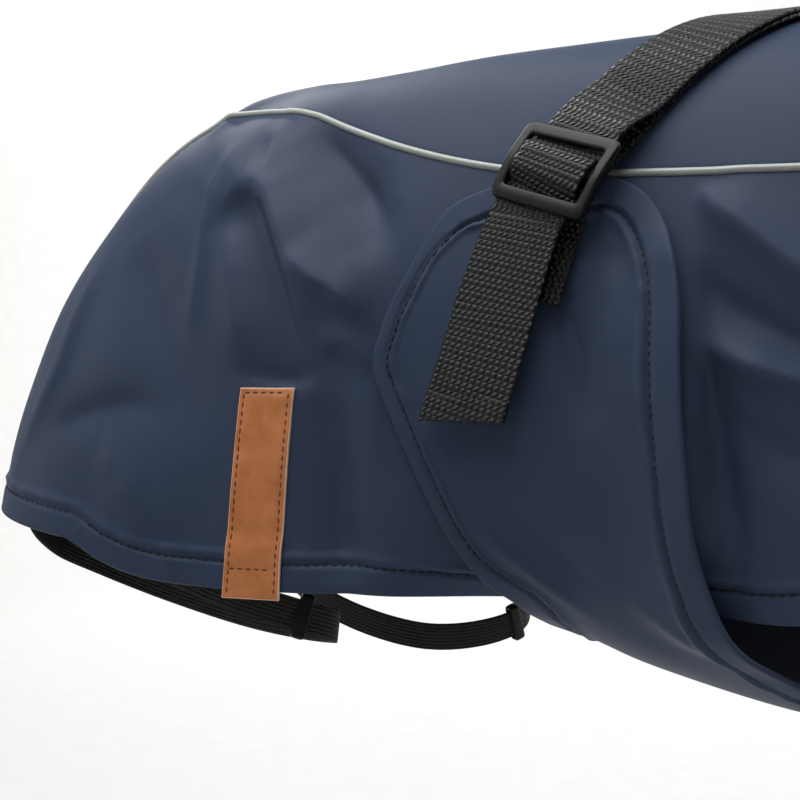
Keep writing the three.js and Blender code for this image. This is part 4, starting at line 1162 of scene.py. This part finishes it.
def ring_tab_path():
    """Tab of webbing folded round the ring's lower wire and sewn down on the left wing."""
    half = BELT_THICK / 2
    wire = RING_TURN + WIRE_AWAY / turn_length(RING_TURN)
    centre = belt_floor(np.float64(wire)) + half + FOLD
    lower = np.arange(281, 264.5, -0.5)
    parts = [on_line(strap_x, lower, belt_floor(lower) + half)]
    bend = np.linspace(0, np.pi, 18)
    bend_turn = wire - np.sin(bend) * FOLD / turn_length(wire)
    parts.append(on_line(strap_x, bend_turn, centre - np.cos(bend) * FOLD))
    top = np.arange(264.5, 280.1, 0.5)
    settle = 2.6 * smooth((271 - top) / 6.5)
    parts.append(on_line(strap_x, top, belt_floor(top) + half + BELT_THICK + SEAM + settle))
    return np.concatenate(parts)


# Leg loops: ends on the inner face of the skirt as x and z, and free points of the band between them.
RIGHT_LOOP = {
    "side": 1, "centre": (-125, -60), "front": [(-142, -193), (-130, -198)],
    "free": [(-112, -87.2, -206.5), (-92, -86.5, -213), (-70, -80, -220), (-57.5, -68, -226),
             (-64, -53, -230), (-85, -41, -232), (-115, -34, -230), (-150, -37, -221),
             (-176, -50, -209), (-190, -64, -199)],
    "rear": [(-194, -185), (-197, -177.5)], "slide_at": 0.33,
}
LEFT_LOOP = {
    "side": -1, "centre": (-90, 60), "front": [(-84, -195), (-72, -200)],
    "free": [(-52, 86, -212), (-32, 80.5, -225), (-19, 68, -235), (-19, 54, -241), (-32, 42, -246),
             (-56, 33, -248), (-86, 29, -242), (-116, 33, -231), (-142, 49, -217), (-158, 70, -205.5)],
    "rear": [(-168, -187), (-171, -178)], "slide_at": 0.4,
}


def inside_at(side, x, z):
    """Point and normal of the coat nearest to this x and z of the side view."""
    s, angle = np.meshgrid(np.linspace(4, LAST, 500), np.linspace(30, 90, 400), indexing="ij")
    form = coat_form(s, angle)
    best = np.argmin(np.hypot(form[..., 0] - x, form[..., 2] - z))
    return coat(s.flat[best], side * angle.flat[best])


def centripetal(points, count):
    """Catmull-Rom curve through the points with knots spaced by the root of the distances."""
    ends = [2 * points[0] - points[1], 2 * points[-1] - points[-2]]
    full = np.concatenate([ends[:1], points, ends[1:]])
    knots = np.concatenate([[0], np.cumsum(np.linalg.norm(np.diff(full, axis=0), axis=1) ** 0.5)])
    share = np.linspace(0, len(points) - 1 - 1e-9, count)
    i = share.astype(int)
    k = [knots[i + n] for n in range(4)]
    t = k[1] + (share - i) * (k[2] - k[1])
    p = [full[i + n] for n in range(4)]

    def lerp(a, b, start, end):
        return a + (b - a) * ((t - start) / (end - start))[:, None]

    a = [lerp(p[n], p[n + 1], k[n], k[n + 1]) for n in range(3)]
    b = [lerp(a[n], a[n + 1], k[n], k[n + 2]) for n in range(2)]
    return lerp(b[0], b[1], k[1], k[2])


def loop_path(loop):
    """Middles of an elastic and its directions across, away from the wearer's thigh: outwards from the
    middle of an oval round it, and along the cloth's normal at the sewn ends."""
    under_cloth = 0.8
    sunk = -(SEAM + ELASTIC_THICK / 2 + under_cloth)
    ends = {key: [inside_at(loop["side"], x, z) for x, z in loop[key]] for key in ("front", "rear")}
    sewn = {key: np.array([p + n * sunk for p, n in pairs]) for key, pairs in ends.items()}
    points = np.concatenate([sewn["front"], np.array(loop["free"], float), sewn["rear"]])
    count, narrower = 400, 2.2
    middle = centripetal(points, count)
    ahead = unit(np.gradient(middle, axis=0))
    share = np.linspace(0, 1, count)[:, None]
    cx, cy = loop["centre"]
    away = unit(np.stack([middle[:, 0] - cx, (middle[:, 1] - cy) * narrower, np.zeros(count)], -1))
    away = mix(away, ends["front"][0][1], smooth((0.2 - share) / 0.1))
    away = mix(away, ends["rear"][1][1], smooth((share - 0.82) / 0.1))
    return np.concatenate([middle, unit(np.cross(ahead, away))], -1)


def loop_slide(loop, name):
    """Small moulded slide round the elastic."""
    path = loop_path(loop)
    at = int(loop["slide_at"] * (len(path) - 1))
    middle, across = path[at, :3], path[at, 3:]
    ahead = unit(path[at + 1, :3] - path[at - 1, :3])
    up = unit(np.cross(across, ahead))
    outer = rounded_outline(ELASTIC_WIDTH + 5.4, ELASTIC_THICK + 3.4, 1.4, 96)
    inner = rounded_outline(ELASTIC_WIDTH + 1.8, ELASTIC_THICK + 1.1, 0.5, 96)
    points, quads = closed_ring(frame_section(outer, inner, 5.0, 14, 0.6))
    return moulding(name, points, quads, middle, across, up, ahead)


# Leather label.
LABEL_TOP, LABEL_BOTTOM, LABEL_TOP_X, LABEL_BOTTOM_X = -135, -213.5, -74.5, -79.5
LABEL_WIDTH, LABEL_THICK, LABEL_INSET, LABEL_CROSS_ROW = 22, 1.6, 1.9, 11.2


def label_surface(down, across):
    """Face of the panel below the label: down runs from its top to its end, across from side to side."""
    z = mix(LABEL_TOP, LABEL_BOTTOM, down)
    x = mix(LABEL_TOP_X, LABEL_BOTTOM_X, down) + across
    base_x = x
    for _ in range(6):
        s = place_of(RINGS[FIRST_UPRIGHT:], BASE_X, base_x) + FIRST_UPRIGHT
        ring = between(RINGS, s)
        height = (z - ring[..., BASE_Z]) / (ring[..., RIDGE_Z] - ring[..., BASE_Z])
        base_x = x - height * (ring[..., RIDGE_X] - ring[..., BASE_X])
    cosine = np.sign(height) * np.abs(height) ** (ring[..., ROUND] / 2)
    point, normal = coat(s, np.degrees(np.arccos(np.clip(cosine, -1, 1))))
    lift = CLOTH + 0.15 + 1.2 * smooth((24 - (z + 211)) / 9)
    return point + normal * lift[..., None], normal


def leather_label():
    """Leather label on the panel: slightly cushioned, with a groove along its stitches."""
    length = LABEL_TOP - LABEL_BOTTOM
    edge_steps = np.array([0, 0.12, 0.35, 0.7, 1.2])
    down = spread(length, edge_steps, edge_steps, 90) / length
    across = spread(LABEL_WIDTH, edge_steps, edge_steps, 26) - LABEL_WIDTH / 2
    d, a = np.meshgrid(down, across, indexing="ij")
    low, normal = label_surface(d, a)
    from_side = LABEL_WIDTH / 2 - np.abs(a)
    from_top = d * length
    from_end = (1 - d) * length
    edge = np.minimum(np.minimum(from_side, from_top), from_end)
    side_row, top_row = np.abs(from_side - LABEL_INSET), np.abs(from_top - LABEL_INSET)
    outside_rows = 10 * (from_side < LABEL_INSET - 0.5)
    row = np.minimum(side_row, top_row + outside_rows)
    row = np.where(from_top < LABEL_INSET - 0.5, top_row, row)
    cross = np.abs(from_end - LABEL_CROSS_ROW) + outside_rows
    groove = 0.28 * np.exp(-((np.minimum(row, cross) / 0.55) ** 2))
    high = LABEL_THICK * (0.55 + 0.45 * rounded(edge, 0.7)) - groove
    outer = low + normal * high[..., None]
    points, quads, _ = wall(outer, low)
    is_edge = np.arange(len(quads)) >= 2 * len(grid_faces(*outer.shape[:2]))
    near = np.concatenate([edge.ravel(), edge.ravel()])[quads].max(1) < 0.4
    finish = (is_edge | near).astype(int)
    piece = put_mesh("leather_label", points, quads, [LEATHER, LEATHER_EDGE], finish=finish,
                     replaces=["leather_label"])
    lines = []
    for side in (-1, 1):
        t = np.linspace(LABEL_INSET / length, 1 - 0.5 / length, 60)
        lines.append(np.concatenate(label_top(t, np.full(60, side * (LABEL_WIDTH / 2 - LABEL_INSET))), -1))
    t = np.linspace(-LABEL_WIDTH / 2 + LABEL_INSET, LABEL_WIDTH / 2 - LABEL_INSET, 30)
    lines.append(np.concatenate(label_top(np.full(30, LABEL_INSET / length), t), -1))
    lines.append(np.concatenate(label_top(np.full(30, 1 - LABEL_CROSS_ROW / length), t), -1))
    stitches("label_stitches", lines, BROWN_THREAD, 3.3, 0.7, 0.6, 0.3)
    return piece


def label_top(down, across):
    low, normal = label_surface(down, across)
    return low + normal * (LABEL_THICK - 0.25), normal


# Pieces.
right_panel, right_lines = side_panel(1)
left_panel, left_lines = side_panel(-1)
back, back_lines = back_panel()
belly, belly_lines = belly_apron()
piping(1)
piping(-1)
for stitch_name, rows_of_stitches in (
    ("hem_stitches_right", right_lines), ("hem_stitches_left", left_lines),
    ("hem_stitches_back", back_lines), ("apron_stitches", belly_lines),
):
    stitches(stitch_name, rows_of_stitches, NAVY_THREAD)
BELT = (BELT_WIDTH, BELT_THICK, 48, 0.62, WEBBING, "belt_webbing", 0.25)
BAND = (ELASTIC_WIDTH, ELASTIC_THICK, 28, 0.8, ELASTIC, "leg_elastic")
webbing("belt_webbing", belt_path(), *BELT, double_end=9, slant=9)
webbing("ring_tab", ring_tab_path(), *BELT)
slide()
wire_ring()
for loop, side_name in ((RIGHT_LOOP, "right"), (LEFT_LOOP, "left")):
    webbing("leg_loop_" + side_name, loop_path(loop), *BAND)
    loop_slide(loop, "loop_slide_" + side_name)
leather_label()


# Studio.
def stage_grid(name, points, rows, columns, material):
    mesh = bpy.data.meshes.new(name)
    mesh.from_pydata(points.tolist(), [], grid_faces(rows, columns).tolist())
    mesh.polygons.foreach_set("use_smooth", np.ones(len(mesh.polygons), bool))
    mesh.materials.append(material)
    ground = bpy.data.objects.new(name, mesh)
    bpy.context.scene.collection.objects.link(ground)
    return ground


FLOOR_Z, FLOOR_RADIUS, CURVE_RADIUS, PAPER_TOP, PAPER_COLUMNS = -0.56, 2.4, 1.2, 4.5, 97


def paper_sweep():
    """Pale paper: a floor that curves up into a backdrop all round, as a shallow bowl."""
    material, tree = new_material("pale_studio_paper")
    where = add(tree, COORDINATES, output="Object")
    fibre = add(tree, NOISE, {"Vector": where, "Scale": per_metre(40)})
    colour = add(tree, RAMP, {"Fac": fibre}, ramp=((0.35, "#c9c9c8"), (0.65, "#cbcbca")))
    finish_material(tree, {"Base Color": colour, "Roughness": 0.9})
    flat, curve = np.linspace(0.0005, FLOOR_RADIUS, 24), np.linspace(0.06, np.pi / 2, 20)
    rim = FLOOR_RADIUS + CURVE_RADIUS
    radius = np.concatenate([flat, FLOOR_RADIUS + CURVE_RADIUS * np.sin(curve), [rim]])[:, None]
    height = np.concatenate([0 * flat, CURVE_RADIUS * (1 - np.cos(curve)), [PAPER_TOP]])[:, None]
    turn = np.linspace(0, 2 * np.pi, PAPER_COLUMNS)
    points = np.stack([radius * np.cos(turn), radius * np.sin(turn), height + FLOOR_Z + 0 * turn], -1)
    return stage_grid("paper_sweep", points.reshape(-1, 3), len(radius), PAPER_COLUMNS, material)


def soft_light(name, place, aim, size, power):
    """Square soft box at a place in metres, turned to its aim."""
    light = bpy.data.lights.new(name, "AREA")
    light.shape = "SQUARE"
    light.size = size
    light.energy = power
    lamp = bpy.data.objects.new(name, light)
    lamp.location = place
    lamp.rotation_euler = (Vector(aim) - Vector(place)).to_track_quat("-Z", "Y").to_euler()
    bpy.context.scene.collection.objects.link(lamp)


paper_sweep()
soft_light("top_box", (-0.15, -0.3, 0.95), (0.0, 0.0, 0.0), 1.2, 21)
soft_light("rear_box", (-1.7, -0.5, 0.35), (-0.1, 0.0, -0.1), 0.9, 5)
soft_light("backdrop_box_left", (-1.5, 1.3, 1.7), (-0.5, 3.4, -0.3), 0.9, 66)
soft_light("backdrop_box_right", (1.5, 1.3, 1.7), (0.5, 3.4, -0.3), 0.9, 66)
soft_light("front_paper_box", (0.0, -1.3, 1.8), (0.0, -3.4, -0.2), 0.9, 10)
world = bpy.data.worlds.new("studio")
bpy.context.scene.world = world
world.use_nodes = True
world.node_tree.nodes["Background"].inputs["Color"].default_value = (1, 1, 1, 1)
world.node_tree.nodes["Background"].inputs["Strength"].default_value = 0.04

# Focal length and width of the picture, in pixels.
FOCAL, PICTURE = 1240, 800
camera = bpy.data.cameras.new("camera")
camera.sensor_width = 36
camera.lens = FOCAL / PICTURE * camera.sensor_width
view = bpy.data.objects.new("camera", camera)
view.location = (0.145, -0.500, -0.1395)
view.rotation_euler = (np.radians(90), 0, np.radians(22))
bpy.context.scene.collection.objects.link(view)
bpy.context.scene.camera = view
bpy.context.scene.view_settings.view_transform = "Standard"
